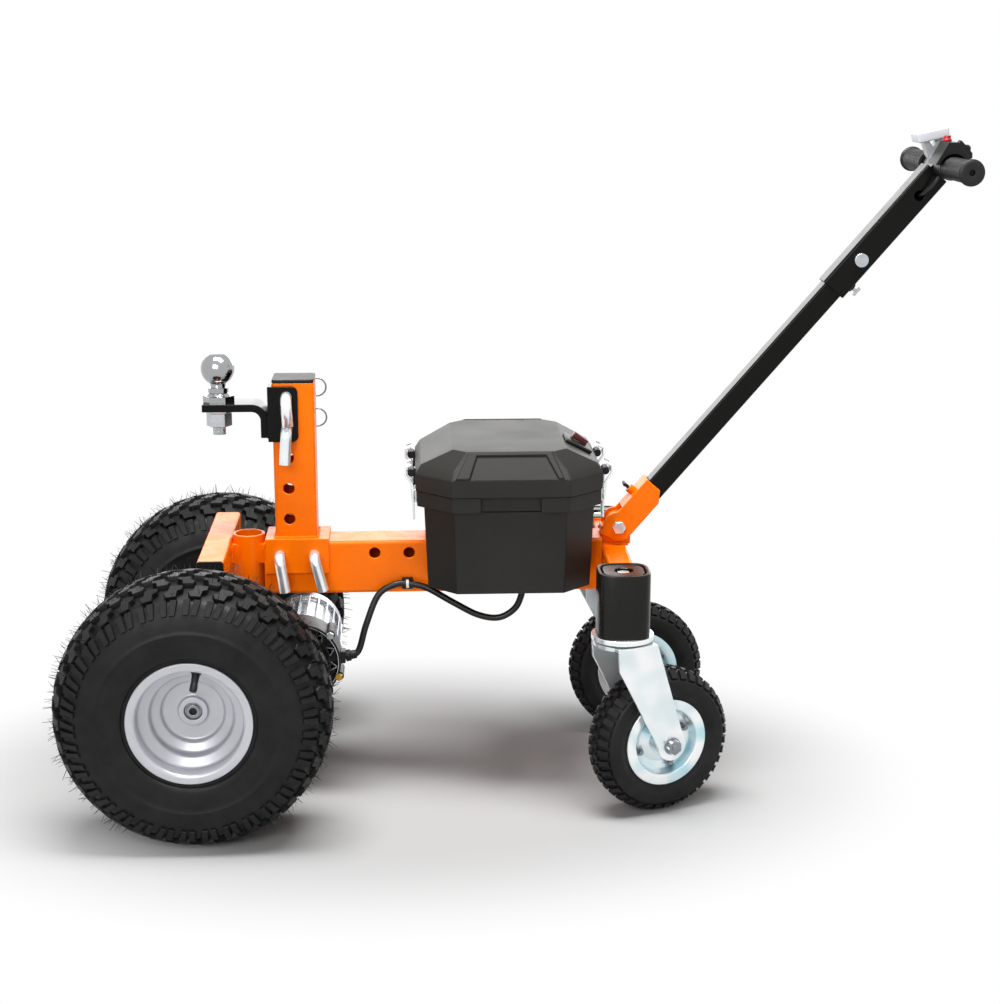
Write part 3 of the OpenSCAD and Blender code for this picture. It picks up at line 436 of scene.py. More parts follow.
def new_finish(name, colour, roughness, metallic=0.0):
    """A material with its colour, and its node tree, shader and object coordinates"""
    material = bpy.data.materials.new(name)
    material.use_nodes = True
    tree = material.node_tree
    shader = tree.nodes["Principled BSDF"]
    shader.inputs["Base Color"].default_value = (*colour, 1)
    shader.inputs["Roughness"].default_value = roughness
    shader.inputs["Metallic"].default_value = metallic
    material.diffuse_color = (*colour, 1)
    return material, tree, shader, add(tree, "ShaderNodeTexCoord").outputs["Object"]


def noise(tree, where, size, detail, roughness=0.5):
    """Clouds of noise, size in millimetres"""
    return add(tree, "ShaderNodeTexNoise", {
        "Vector": where, "Scale": 1 / (size * MM), "Detail": detail, "Roughness": roughness})


def coloured(tree, shader, clouds, start, low, end, high):
    """Base colour from low to high, between two levels of the clouds"""
    ramp = add(tree, "ShaderNodeValToRGB", {"Fac": clouds})
    for stop, level, colour in zip(ramp.color_ramp.elements, (start, end), (low, high)):
        stop.position = level
        stop.color = (*colour, 1)
    tree.links.new(ramp.outputs["Color"], shader.inputs["Base Color"])


def varied(tree, shader, colour, where, size, spread, shift=0.0):
    """Clouds of lighter and darker colour, size in millimetres"""
    low = tuple(c * (1 - spread) for c in colour)
    high = tuple(min(1.0, c * (1 + spread) + shift) for c in colour)
    coloured(tree, shader, noise(tree, where, size, 3.0, 0.55), 0.3, low, 0.7, high)


def uneven(tree, shader, where, size, low, high):
    """Roughness that drifts between two values, size in millimetres"""
    span = add(tree, "ShaderNodeMapRange", {
        "Value": noise(tree, where, size, 2.0), "From Min": 0.3, "From Max": 0.7,
        "To Min": low, "To Max": high})
    tree.links.new(span.outputs["Result"], shader.inputs["Roughness"])


def grained(tree, shader, where, size, depth, strength):
    """Fine relief of the surface, size and depth in millimetres"""
    relief = add(tree, "ShaderNodeBump", {
        "Height": noise(tree, where, size, 2.0), "Strength": strength, "Distance": depth * MM})
    tree.links.new(relief.outputs["Normal"], shader.inputs["Normal"])


def powder_coat(name, colour, gloss, shine, peel=0.2):
    """Powder coat on steel: a thick baked skin with a faint orange peel, about 2 mm across"""
    material, tree, shader, where = new_finish(name, colour, gloss)
    varied(tree, shader, colour, where, 90, 0.05)
    uneven(tree, shader, where, 25, gloss - 0.05, gloss + 0.06)
    grained(tree, shader, where, 2.2, 0.10, peel)
    shader.inputs["Specular IOR Level"].default_value = shine
    return material


def moulded_plastic(name, colour, gloss, grain=0.9, shine=0.35):
    """Moulded polypropylene or ABS: an even colour with the fine spark-eroded grain of the mould"""
    material, tree, shader, where = new_finish(name, colour, gloss)
    varied(tree, shader, colour, where, 90, 0.05, 0.002)
    uneven(tree, shader, where, 60, gloss - 0.02, gloss + 0.03)
    grained(tree, shader, where, grain, 0.06, 0.3)
    shader.inputs["Specular IOR Level"].default_value = shine
    return material


def zinc_plate(name, colour, tint="E6EFF1"):
    """Zinc plate: clear passivated metal with faint blue-green patches and a very fine matt crystal"""
    material, tree, shader, where = new_finish(name, colour, 0.2, 0.7)
    patch = [c * t for c, t in zip(colour, linear(tint))]
    coloured(tree, shader, noise(tree, where, 45, 1.0), 0.36, patch, 0.6, colour)
    uneven(tree, shader, where, 40, 0.16, 0.26)
    grained(tree, shader, where, 1.2, 0.02, 0.15)
    return material


def polished_chrome(name):
    """Polished chrome plate: a mirror with the softest haze"""
    material, tree, shader, where = new_finish(name, linear("A6A8AA"), 0.14, 1.0)
    uneven(tree, shader, where, 12, 0.10, 0.18)
    return material


def cast_aluminium(name):
    """Die-cast aluminium: pale matt metal with a sandy skin"""
    colour = linear("BDC0C4")
    material, tree, shader, where = new_finish(name, colour, 0.4, 1.0)
    varied(tree, shader, colour, where, 10, 0.08)
    uneven(tree, shader, where, 30, 0.2, 0.34)
    grained(tree, shader, where, 1.2, 0.12, 0.4)
    return material


def wheel_silver(name, colour):
    """Silver wheel paint: fine flake in a satin lacquer, with the slight peel of a sprayed coat"""
    material, tree, shader, where = new_finish(name, colour, 0.36, 0.35)
    varied(tree, shader, colour, where, 50, 0.04)
    uneven(tree, shader, where, 20, 0.30, 0.40)
    grained(tree, shader, where, 2.5, 0.08, 0.2)
    shader.inputs["Coat Weight"].default_value = 0.25
    shader.inputs["Coat Roughness"].default_value = 0.25
    return material


def tyre_rubber(name, colour):
    """Vulcanised tyre rubber: near black and matt, a little greyer in patches, with a fine skin"""
    material, tree, shader, where = new_finish(name, colour, 0.55)
    varied(tree, shader, colour, where, 28, 0.18, 0.004)
    uneven(tree, shader, where, 12, 0.40, 0.55)
    grained(tree, shader, where, 1.4, 0.15, 0.4)
    shader.inputs["Specular IOR Level"].default_value = 0.2
    return material


def soft_rubber(name, code, gloss):
    """Extruded or moulded soft rubber: dark, with a dull sheen"""
    colour = linear(code)
    material, tree, shader, where = new_finish(name, colour, gloss)
    varied(tree, shader, colour, where, 20, 0.15)
    uneven(tree, shader, where, 9, gloss - 0.06, gloss + 0.06)
    grained(tree, shader, where, 1.0, 0.06, 0.3)
    shader.inputs["Specular IOR Level"].default_value = 0.35
    return material


class DOLLY_OT_finishes(bpy.types.Operator):
    """Makes every finish of the dolly"""
    bl_idname = "dolly.finishes"
    bl_label = "Finishes"

    def execute(self, context):
        c = context.scene.dolly_colours
        FINISH.update(
            orange=powder_coat("Orange powder coat", tuple(c.orange), 0.28, 0.14, 0.02),
            black=powder_coat("Black powder coat", tuple(c.black_coat), 0.15, 0.11, 0.06),
            satin=powder_coat("Satin black coat", linear("121210"), 0.28, 0.22, 0.03),
            gear=powder_coat("Black cast gear case", linear("141416"), 0.34, 0.25),
            box=moulded_plastic("Black polypropylene", tuple(c.box), 0.46, 0.9, 0.22),
            abs=moulded_plastic("Black ABS", linear("141414"), 0.42, 0.9, 0.2),
            battery=moulded_plastic("Grey battery case", linear("4A4B4E"), 0.45),
            red=moulded_plastic("Red ABS", tuple(c.red), 0.26, 1.5),
            wine=moulded_plastic("Dark red ABS", linear("4A0F12"), 0.3, 1.5),
            pod=moulded_plastic("Silver ABS", linear("C2C5C9"), 0.24, 1.5),
            tie=moulded_plastic("Natural nylon", linear("E2E0D6"), 0.4, 1.5),
            zinc=zinc_plate("Bright zinc plate", tuple(c.zinc)),
            blue_zinc=zinc_plate("Blue zinc plate", tuple(c.zinc), "C4E6EE"),
            bolt=zinc_plate("Dull zinc plate", linear("8E9196")),
            chrome=polished_chrome("Polished chrome"),
            aluminium=cast_aluminium("Cast aluminium"),
            wheel=wheel_silver("Silver wheel paint", tuple(c.wheel)),
            tyre=tyre_rubber("Tyre rubber", tuple(c.rubber)),
            cable=soft_rubber("Cable rubber", "0E0E0E", 0.34),
            grip=soft_rubber("Grip rubber", "0E0E0E", 0.48),
            brass=zinc_plate("Brass", linear("C89B3C")),
        )
        return {"FINISHED"}


# Wheels

# Crowns of the tyres: half width and radius in millimetres, from the middle out
DRIVE_CROWN = [(0, 190.4), (17, 190.0), (38, 186.3), (54.7, 177.9), (66, 166.4), (73, 151.7), (76, 131),
               (76, 108)]
CASTER_CROWN = [(0, 105.9), (7, 105.7), (15.5, 104.2), (22.3, 100.9), (27, 96.2), (29.8, 90.3), (31, 81.8),
                (31, 72.8)]
# Radii that the pitches of the treads are measured at
DRIVE_RADIUS = 190.5
CASTER_RADIUS = 106
# Hooked turf block, along the tread's width and round it, in millimetres
TURF_BLOCK = [(-10.5, -13.65), (-3, -12.6), (0, -6.3), (10.5, -4.2), (10.5, 9.45), (3, 12.6), (0, 6.3),
              (-10.5, 4.2)]
# Rows of turf blocks: distance over the tread, start as a part of the pitch, and hand
TURF_ROWS = [(0, 0.0, 1), (25.5, 0.5, -1), (-25.5, 0.5, 1), (50.5, 0.0, 1), (-50.5, 0.0, -1)]
# Surface that the whiskers grow on, as radius and height in millimetres
WHISKER_ROOTS = [(188.5, -30), (189.6, 0), (188.5, 30), (176, 58), (166, 66), (160, 60), (170, 40), (175, 0),
                 (170, -40), (160, -60), (166, -66), (176, -58)]


def tread_curve(rows):
    """A function from the distance over a tread to (radius, height) and the outward normal"""
    marks = [0.0]
    for a, b in zip(rows, rows[1:]):
        marks.append(marks[-1] + math.dist(a, b))

    def place(distance):
        reach = abs(distance)
        k = 0
        while k < len(marks) - 2 and reach > marks[k + 1]:
            k += 1
        a = rows[k - 1] if k else (-rows[1][0], rows[1][1])
        b = rows[k]
        c = rows[k + 1]
        d = rows[min(k + 2, len(rows) - 1)]
        t = (reach - marks[k]) / (marks[k + 1] - marks[k])
        spot = [between(a[i], b[i], c[i], d[i], t) for i in (0, 1)]
        slope = [0.5 * ((c[i] - a[i]) + 2 * (2 * a[i] - 5 * b[i] + 4 * c[i] - d[i]) * t
                        + 3 * (3 * b[i] - a[i] - 3 * c[i] + d[i]) * t * t) for i in (0, 1)]
        length = math.hypot(*slope) or 1.0
        side = 1 if distance >= 0 else -1
        return spot[1], side * spot[0], slope[0] / length, -side * slope[1] / length

    return place


def block(bm, crown, outline, height, sink, draft):
    """One rubber block whose outline is (distance over the tread, way round it), in millimetres"""
    middle_s = sum(p[0] for p in outline) / len(outline)
    middle_u = sum(p[1] for p in outline) / len(outline)
    rings = []
    for lift, shrink in ((-sink, 1 + draft), (height - 1.0, 1.0), (height, 1 - 1.2 * draft)):
        ring = []
        for s, u in outline:
            s = middle_s + (s - middle_s) * shrink
            u = middle_u + (u - middle_u) * shrink
            r, z, nr, nz = crown(s)
            turn = u / r
            r += nr * (lift - height)
            z += nz * (lift - height)
            ring.append(bm.verts.new((r * math.cos(turn) * MM, r * math.sin(turn) * MM, z * MM)))
        rings.append(ring)
    skin(bm, rings)


def casing(name, crown, depths, bead, turns):
    """A tyre under its tread: depths are (distance over the tread, how far below its top)"""
    half = []
    for distance, depth in depths:
        r, z, nr, nz = crown(distance)
        half.append((r - nr * depth, z - nz * depth))
    half += bead
    outline = [(r * MM, z * MM) for r, z in half]
    outline += [(r * MM, -z * MM) for r, z in reversed(half) if z > 0.01]
    return shaded(lathe(outline, turns), name, 50)


class DOLLY_OT_drive_tyres(bpy.types.Operator):
    """Turf tyres of the drive wheels with hooked blocks, shoulder lugs and mould whiskers"""
    bl_idname = "dolly.drive_tyres"
    bl_label = "Drive tyres"

    def execute(self, context):
        sizes = context.scene.dolly_sizes
        height = sizes.block_height / MM
        crown = tread_curve(DRIVE_CROWN)
        pitch = 2 * math.pi * DRIVE_RADIUS / sizes.drive_pitches
        bm = bmesh.new()
        for row, start, hand in TURF_ROWS:
            block(bm, crown, [(row + s, hand * u + start * pitch) for s, u in TURF_BLOCK],
                  height, sink=1.5, draft=0.05)
        for side in (-1, 1):
            for k in (0.25, 0.75):
                u = (k + 0.12 * side) * pitch
                block(bm, crown, [(side * 65, u - 4.6), (side * 65, u + 4.6), (side * 77, u + 4.3),
                                  (side * 88, u + 3.6), (side * 88, u - 3.6), (side * 77, u - 4.3)],
                      4.5, sink=1.5, draft=0.05)
        bmesh.ops.recalc_face_normals(bm, faces=bm.faces)
        tread = repeated("turf_tread", ring_tree(), "tyre", shaded(bm, "turf_pitch", 30),
                         Count=sizes.drive_pitches)
        depths = [(0, height), (20, height), (40, height), (58, height), (64, 6.0), (70, 5.0), (78, 4.4),
                  (86, 3.6), (90, 3.2), (96, 2.8), (102, 2.4), (108, 2.0), (112, 1.7), (113.6, 0.6),
                  (115.2, 0.6), (116.8, 1.8), (122, 2.0), (128, 2.2)]
        bead = [(101, 73.2), (95.5, 72.2), (92.5, 71.0), (91.0, 68.5), (90.4, 66.6), (86.0, 66.0),
                (76.4, 66.0), (76.4, 54.0), (91, 57.8), (106, 64), (128, 65), (149, 62), (163, 55),
                (172, 41), (178, 17), (179, 0)]
        carcass = casing("turf_carcass", crown, depths, bead, 144)
        # Whiskers grow on the outer surface only, and none where the tyre meets the floor
        hair = lathe([(r * MM, z * MM) for r, z in WHISKER_ROOTS], 96)
        lowest = -168 * MM
        inner = 165 * MM
        bare = [v for v in hair.verts if v.co.y < lowest or math.hypot(v.co.x, v.co.y) < inner]
        bmesh.ops.delete(hair, geom=bare, context="VERTS")
        whiskers = grown("turf_whiskers", whisker_tree(), "tyre", shaded(hair, "whisker_roots"),
                         Density=3600.0, Length=sizes.whisker, Seed=7)
        for name, side in SIDES:
            node = "drive_tyre_" + name
            stand = wheel_stand(name, side)
            upright = stand @ spin(180 if side > 0 else 0, "Z")
            for part, mesh, place, nodes in (("carcass", carcass, stand, (node,)),
                                             ("tread", tread, stand, ()),
                                             ("whiskers", whiskers, upright, ())):
                piece("turf_%s_%s" % (part, name), mesh, "tyre", BODY_OF[node], SLOT_OF[node], *nodes,
                      place=place)
        return {"FINISHED"}


class DOLLY_OT_caster_tyres(bpy.types.Operator):
    """Small knobbed tyres of the casters"""
    bl_idname = "dolly.caster_tyres"
    bl_label = "Caster tyres"

    def execute(self, context):
        sizes = context.scene.dolly_sizes
        crown = tread_curve(CASTER_CROWN)
        pitch = 2 * math.pi * CASTER_RADIUS / sizes.caster_pitches
        bm = bmesh.new()
        for side in (-1, 1):
            u = 0.25 * side * pitch
            block(bm, crown, [(side * 13, u - 4.4), (side * 13, u + 4.4), (side * 22, u + 5.2),
                              (side * 31, u + 4.8), (side * 31, u - 4.8), (side * 22, u - 5.2)],
                  4.0, sink=1.2, draft=0.06)
            block(bm, crown, [(side * 1.2, -u - 4.0), (side * 1.2, -u + 3.0), (side * 10.5, -u + 5.0),
                              (side * 10.5, -u - 2.0)], 4.0, sink=1.2, draft=0.06)
        bmesh.ops.recalc_face_normals(bm, faces=bm.faces)
        tread = repeated("knob_tread", ring_tree(), "tyre", shaded(bm, "knob_pitch", 30),
                         Count=sizes.caster_pitches)
        depths = [(0, 4.0), (8, 4.0), (16, 4.0), (24, 4.0), (30, 3.4), (33, 2.4), (35, 1.0), (37, 0.6),
                  (40, 0.8), (44, 0.9), (49, 1.0)]
        bead = [(73.0, 29.2), (69.5, 26.6), (66.5, 25.2), (64.3, 24.4), (64.1, 23.5), (52.1, 23.5),
                (52.1, 12), (65.5, 25), (80.5, 26.5), (90, 24), (96, 16), (99.5, 6), (100, 0)]
        carcass = casing("knob_carcass", crown, depths, bead, 112)
        for name, _ in SIDES:
            node = "caster_tyre_" + name
            for part, mesh, nodes in (("carcass", carcass, (node,)), ("tread", tread, ())):
                piece("knob_%s_%s" % (part, name), mesh, "tyre", BODY_OF[node], SLOT_OF[node], *nodes,
                      place=caster_stand(name))
        return {"FINISHED"}


class DOLLY_OT_drive_rims(bpy.types.Operator):
    """Deep stepped rims of the drive wheels, with their valves, hub washers and painted shade in the hollow
    bolt heads
    """
    bl_idname = "dolly.drive_rims"
    bl_label = "Drive rims"

    def execute(self, context):
        outline = [(85.5, 69.5, 1.6), (72.5, 69.5, 7), (72.5, 44, 6), (57, 38, 6), (57, 26, 6), (43, 20, 5),
                   (43, 12, 5), (20, 10, 5), (20, 18, 1.5), (12.55, 18, 1), (12.55, -46, 1), (20, -46, 1),
                   (20, 6.5, 3), (46.5, 8.3, 3), (46.5, 17, 3), (60.5, 23, 3), (60.5, 34.5, 3),
                   (72.5, 39.5, 3), (72.5, -69.5, 7), (85.5, -69.5, 1.6), (85.5, -66, 1), (76, -66, 3),
                   (76, 66, 3), (85.5, 66, 1)]
        rim = turned("drive_rim", outline, 5, 128, 60)
        valve = turned("valve", [(0, 0, 0), (8.5, 0, 1), (8.5, 4, 2), (5.5, 9, 2), (4.6, 22, 1),
                                 (5.2, 23, 0.5), (5.2, 33, 1.5), (0, 33, 0)], 3, 24)
        # Washer at the end of the shaft, with a black disc in its hole that is painted shade for the dark
        # hollow of the bolt head
        washer = turned("hub_washer", [(5.2, 12, 0.4), (12, 12, 0.6), (12, 14.4, 0.8), (9.4, 14.4, 0.3),
                                       (9.4, 19, 0.8), (5.2, 19, 0.8)], 3, 40)
        socket_shade = turned("hub_socket_shade", [(0, 13, 0), (5.2, 13, 0), (5.2, 15.5, 0.2), (0, 15.5, 0)], 2, 32)
        for name, side in SIDES:
            node = "drive_rim_" + name
            body = BODY_OF[node]
            stand = wheel_stand(name, side)
            piece("stepped_rim_" + name, rim, "wheel", body, SLOT_OF[node], node, place=stand)
            # The valve stands on the barrel, a little past the top, and leans out
            lean = pointing(Vector((0.0, side * 0.72, 0.69)))
            past = Matrix.Translation(middle("drive_tyre_" + name)) @ spin(9, "Y") @ spin(-90 * side, "X")
            piece("valve_" + name, valve, "cable", body, "cable_rubber",
                  place=past @ Matrix.Translation((0, -side * 0.0725, 0.051)) @ lean)
            piece("hub_washer_" + name, washer, "bolt", body, "zinc_plate", place=stand)
            # The black disc in the washer's hole is painted shade of the hollow bolt head
            piece("hub_socket_" + name, socket_shade, "cable", body, "cable_rubber", place=stand)
        return {"FINISHED"}


class DOLLY_OT_caster_rims(bpy.types.Operator):
    """Zinc-plated caster rims with the four bolts that hold their halves"""
    bl_idname = "dolly.caster_rims"
    bl_label = "Caster rims"

    def execute(self, context):
        flange, barrel, seat = 63.5, 51.5, 23.56
        half = [(flange, seat + 3, 1.2), (barrel - 3, seat + 3, 3), (barrel - 6, 9, 4), (34, 7, 4),
                (20, 12, 3), (20, seat + 9, 1), (6.05, seat + 9, 0.6)]
        outline = half + [(r, -z, q) for r, z, q in reversed(half)]
        outline += [(flange, -seat, 0.8), (barrel, -seat, 2), (barrel, seat, 2), (flange, seat, 0.8)]
        rim = turned("caster_rim", outline, 4, 112, 60)
        head = bmesh.new()
        for side in (-1, 1):
            peg(head, 6, 6.5, 6.2, 7, (38.5, 0, side * 10.5))
            peg(head, 16, 3.4, 3.2, 14, (38.5, 0, side * 11.5))
        bolts = repeated("rim_bolts", ring_tree(), "bolt", shaded(head, "rim_bolt", 30), Count=4)
        for name, _ in SIDES:
            node = "caster_rim_" + name
            stand = caster_stand(name)
            piece("zinc_rim_" + name, rim, "blue_zinc", BODY_OF[node], SLOT_OF[node], node, place=stand)
            piece("rim_bolts_" + name, bolts, "bolt", BODY_OF[node], "zinc_plate",
                  place=stand @ spin(20, "Z"))
        return {"FINISHED"}


# Steel, plastic and metal pieces that keep their solid shape

STEEL = ("front_bar", "axle_hangers", "socket_tube", "main_beam", "post_saddle", "ball_post", "cross_tube",
         "handle_upright", "handle_socket")
BLACK_STEEL = ("ball_bracket", "lower_tube", "upper_sleeve", "handlebar")
# Places in millimetres, along X from the drive axle: legs (X, Y) and motor axis (X, Z)
LEG_X, LEG_Y = 594, 169
MOTOR_X, MOTOR_Z = 138, 206
# Weld beads: start and end in millimetres, along X from the drive axle, and the finish
WELDS = [((104, -30, 377), (162, -30, 377), "orange"), ((104, 30, 377), (162, 30, 377), "orange"),
         ((103, -29, 377), (103, 29, 377), "orange"), ((163, -29, 377), (163, 29, 377), "orange"),
         ((38, -19, 338), (38, -19, 364), "orange"), ((38, 19, 338), (38, 19, 364), "orange"),
         ((86, -19, 338), (86, -19, 364), "orange"), ((86, 19, 338), (86, 19, 364), "orange"),
         ((97, -26, 525), (97, -26, 556), "black"), ((97, 26, 525), (97, 26, 556), "black"),
         ((579, -14.5, 358), (620, -14.5, 358), "orange"), ((579, 14.5, 358), (620, 14.5, 358), "orange"),
         ((580, -132, 358), (613, -132, 358), "orange"), ((580, 132, 358), (613, 132, 358), "orange")]


class DOLLY_OT_steel(bpy.types.Operator):
    """Painted steel of the frame and the handle, with rounded edges and welds"""
    bl_idname = "dolly.steel"
    bl_label = "Painted steel"

    def execute(self, context):
        sizes = context.scene.dolly_sizes
        for node in STEEL:
            softened(node, "orange", sizes.edge / MM)
        for node in BLACK_STEEL:
            softened(node, "black", sizes.edge / MM)
        # Legs with their covers: half width or radius and height, from the outside in
        leg = [soft_square(h, z) for h, z in ((37, 270), (37, 360.2), (36.5, 361.5), (35.3, 362),
                                              (32.7, 362), (31.5, 361.5), (31, 360.2), (31, 278))]
        cap = [soft_square(h, z) for h, z in ((29, 356), (29, 360), (28.3, 361))]
        cap += [soft_square(r, z, 2) for r, z in ((14, 361), (13, 360), (13, 348))]
        for node, loops in (("caster_legs", leg), ("leg_caps", cap)):
            both = bmesh.new()
            for side in (-1, 1):
                half = shaded(stacked(loops), node)
                half.transform(put(LEG_X, side * LEG_Y, 0))
                both.from_mesh(half)
            piece(node + "_dressed", shaded(both, node), "satin", BODY_OF[node], SLOT_OF[node], node)
        # Each weld is a row of flat drops
        spacing = 0.3 * sizes.weld
        for k, (start, end, finish) in enumerate(WELDS):
            start = at(*start)
            way = at(*end) - start
            drop = bmesh.new()
            bmesh.ops.create_uvsphere(drop, u_segments=10, v_segments=6, radius=sizes.weld / 2)
            bmesh.ops.scale(drop, vec=(1, 1, 0.55), verts=drop.verts)
            bead = repeated("weld", row_tree(), finish, shaded(drop, "weld_drop", 60),
                            Count=int(way.length / spacing), Spacing=spacing)
            slot = "frame_orange" if finish == "orange" else "black_paint"
            piece("weld_%d" % (k + 1), bead, finish, "frame", slot,
                  place=Matrix.Translation(start) @ pointing(way))
        # Pale bolts sunk in the leg caps
        bolt = bmesh.new()
        peg(bolt, 32, 11.5, 11, 2.5, (0, 0, 1.25))
        peg(bolt, 6, 9.5, 9.3, 8, (0, 0, 6.5))
        bolt = shaded(bolt, "leg_bolt", 30)
        for name, side in SIDES:
            piece("leg_bolt_" + name, bolt, "zinc", "frame", "zinc_plate",
                  place=put(LEG_X, side * LEG_Y, 348))
        return {"FINISHED"}


class DOLLY_OT_box(bpy.types.Operator):
    """Moulded battery box, its lid and what sits on them"""
    bl_idname = "dolly.box"
    bl_label = "Battery box"

    def execute(self, context):
        softened("battery_box", "box", 1.4)
        # The lid's slopes have openings in them, so its faces are not merged, and its hips are flat
        softened("box_lid", "box", 1.6, angle=12, merge=False)
        softened("batteries", "battery", 2)
        softened("latches", "zinc", 0.6)
        softened("latch_catches", "abs", 0.6)
        # Key switch: a black plate with a round collar and a dark red key, square to the lid's rear slope
        stand = put(540, -20, 509.25) @ spin(27.1, "Y")
        base = brick((42, 54, 5), 2, 3)
        bmesh.ops.translate(base, vec=(0, 0, 2.5 * MM), verts=base.verts)
        base.from_mesh(turned("switch_collar", [(0, -5, 0), (13, -5, 0), (13, 7, 1.2), (10.6, 7, 0.6),
                                                (10.6, 5.5, 0.4), (0, 5.5, 0)], 3, 48))
        body = BODY_OF["lid_switch"]
        piece("switch_base", shaded(base, "switch_base", 40), "abs", body, "black_plastic", "lid_switch",
              place=stand)
        key = shaded(brick((24, 13, 10), 1.5, 3), "switch_key", 40)
        piece("switch_key", key, "wine", body, "red_plastic",
              place=stand @ Matrix.Translation((0, 0, 9.5 * MM)) @ spin(9, "Y"))
        return {"FINISHED"}


class DOLLY_OT_ball_mount(bpy.types.Operator):
    """Tow ball, its nut, the hitch pins and their clips"""
    bl_idname = "dolly.ball_mount"
    bl_label = "Ball mount"

    def execute(self, context):
        softened("tow_ball", "chrome", 0)
        softened("ball_nut", "aluminium", 0.8)
        softened("hitch_pins", "zinc", 0)
        softened("pin_clips", "bolt", 0)
        softened("tube_plugs", "abs", 1.2)
        # Thread below the nut
        ridge = turned("thread_turn", [(9.6, 0, 0), (10.7, 0.55, 0.2), (10.7, 0.75, 0.2), (9.6, 1.3, 0)],
                       2, 48, 20)
        thread = repeated("thread", row_tree(), "zinc", ridge, Count=6, Spacing=1.8 * MM)
        piece("ball_thread", thread, "zinc", BODY_OF["tow_ball"], "zinc_plate",
              place=put(25, 0, 527))
        return {"FINISHED"}


class DOLLY_OT_transaxle(bpy.types.Operator):
    """Gear case, axle tubes and finned motor"""
    bl_idname = "dolly.transaxle"
    bl_label = "Transaxle"

    def execute(self, context):
        softened("gear_case", "gear", 1.2)
        softened("axle_tubes", "gear", 0.8)
        softened("motor", "aluminium", 0.6)
        softened("drive_shaft_left", "zinc", 0.6)
        softened("drive_shaft_right", "zinc", 0.6)
        # Bolts on the lugs of the gear case, by their angle around the motor, with one brass plug
        bolt = bmesh.new()
        peg(bolt, 6, 5.8, 5.5, 7)
        bolt = shaded(bolt, "case_bolt", 30)
        circle = 59
        for k, (turn, finish) in enumerate(((112, "zinc"), (43, "zinc"), (-22, "brass"), (-100, "zinc"))):
            turn = math.radians(turn)
            spot = put(MOTOR_X + circle * math.cos(turn), -88.5, MOTOR_Z + circle * math.sin(turn))
            piece("case_bolt_%d" % (k + 1), bolt, finish, "frame", "zinc_plate", place=spot @ spin(90, "X"))
        # Pale aluminium ring and zigzag ribs in the groove of the black case, a painted highlight along
        # their edges
        ribs = bmesh.new()
        for side in (-1, 1):
            lay = Matrix.Translation((0.049, 0.0027 * side, 0)) @ spin(-34 * side, "Z")
            bmesh.ops.create_cube(ribs, size=1.0, matrix=lay @ Matrix.Diagonal((0.015, 0.0018, 0.003, 1)))
        ring = repeated("case_ribs", ring_tree(), "aluminium", shaded(ribs, "case_rib", 30), Count=12)
        edge = lathe(rounded([(53.4, -1.4, 0), (55.2, -1.4, 0), (55.2, 1.8, 0.5), (53.4, 1.8, 0.5)], 2), 72)
        edge.from_mesh(ring)
        # The pale ribs are a painted highlight on the black case's rib edges
        piece("case_ribs", shaded(edge, "case_ribs", 30), "aluminium", "frame", "zinc_plate",
              place=put(MOTOR_X, -88.6, MOTOR_Z) @ spin(90, "X") @ spin(-7, "Z"))
        # Nut of the cable gland
        gland = turned("gland", [(4.9, 0, 0.3), (8.5, 0, 0.8), (8.5, 7, 0.8), (6.6, 8, 0.6), (6.2, 16, 1),
                                 (4.9, 16, 0.3)], 3, 32)
        piece("cable_gland", gland, "abs", "frame", "black_plastic",
              place=put(202, -59, MOTOR_Z) @ spin(80, "Y"))
        # Nylon tie round the cable and the dark saddle that it is threaded through
        band = turned("tie", [(4.9, -2, 0.3), (6.2, -2, 0.5), (6.2, 2, 0.5), (4.9, 2, 0.3)], 3, 32)
        piece("cable_tie", band, "tie", BODY_OF["cable_clip"], SLOT_OF["cable_clip"], "cable_clip",
              place=put(293, -39, 308) @ spin(90, "Y"))
        saddle = shaded(brick((16, 5, 17), 1, 2), "tie_saddle", 40)
        piece("tie_saddle", saddle, "abs", "frame", "black_plastic", place=put(293, -34.2, 308))
        return {"FINISHED"}


class DOLLY_OT_casters(bpy.types.Operator):
    """Caster forks, plates and axle nuts, the pivot bolt and the clamp knob"""
    bl_idname = "dolly.casters"
    bl_label = "Casters"

    def execute(self, context):
        for node in ("fork_left", "fork_right", "caster_plates", "pivot_bolt"):
            softened(node, "zinc", 0.8)
        softened("clamp_knob", "aluminium", 0.8)
        # Axle nuts with their washers and bolt ends, over the hexagons of the solid forks
        nuts = bmesh.new()
        for side in (-1, 1):
            peg(nuts, 32, 12.8, 12.8, 1.6, (0, 0, side * 42.8))
            peg(nuts, 6, 11.2, 11.2, 9.2, (0, 0, side * 46.8))
            peg(nuts, 24, 5, 5, 6, (0, 0, side * 50.4))
        edges = [e for e in nuts.edges if e.calc_face_angle() > math.radians(70)]
        bmesh.ops.bevel(nuts, geom=edges, offset=0.6 * MM, segments=2, profile=0.5, affect="EDGES")
        nuts = shaded(nuts, "axle_nuts", 30)
        for name, _ in SIDES:
            piece("axle_nuts_" + name, nuts, "bolt", BODY_OF["fork_" + name], "zinc_plate",
                  place=caster_stand(name))
        return {"FINISHED"}


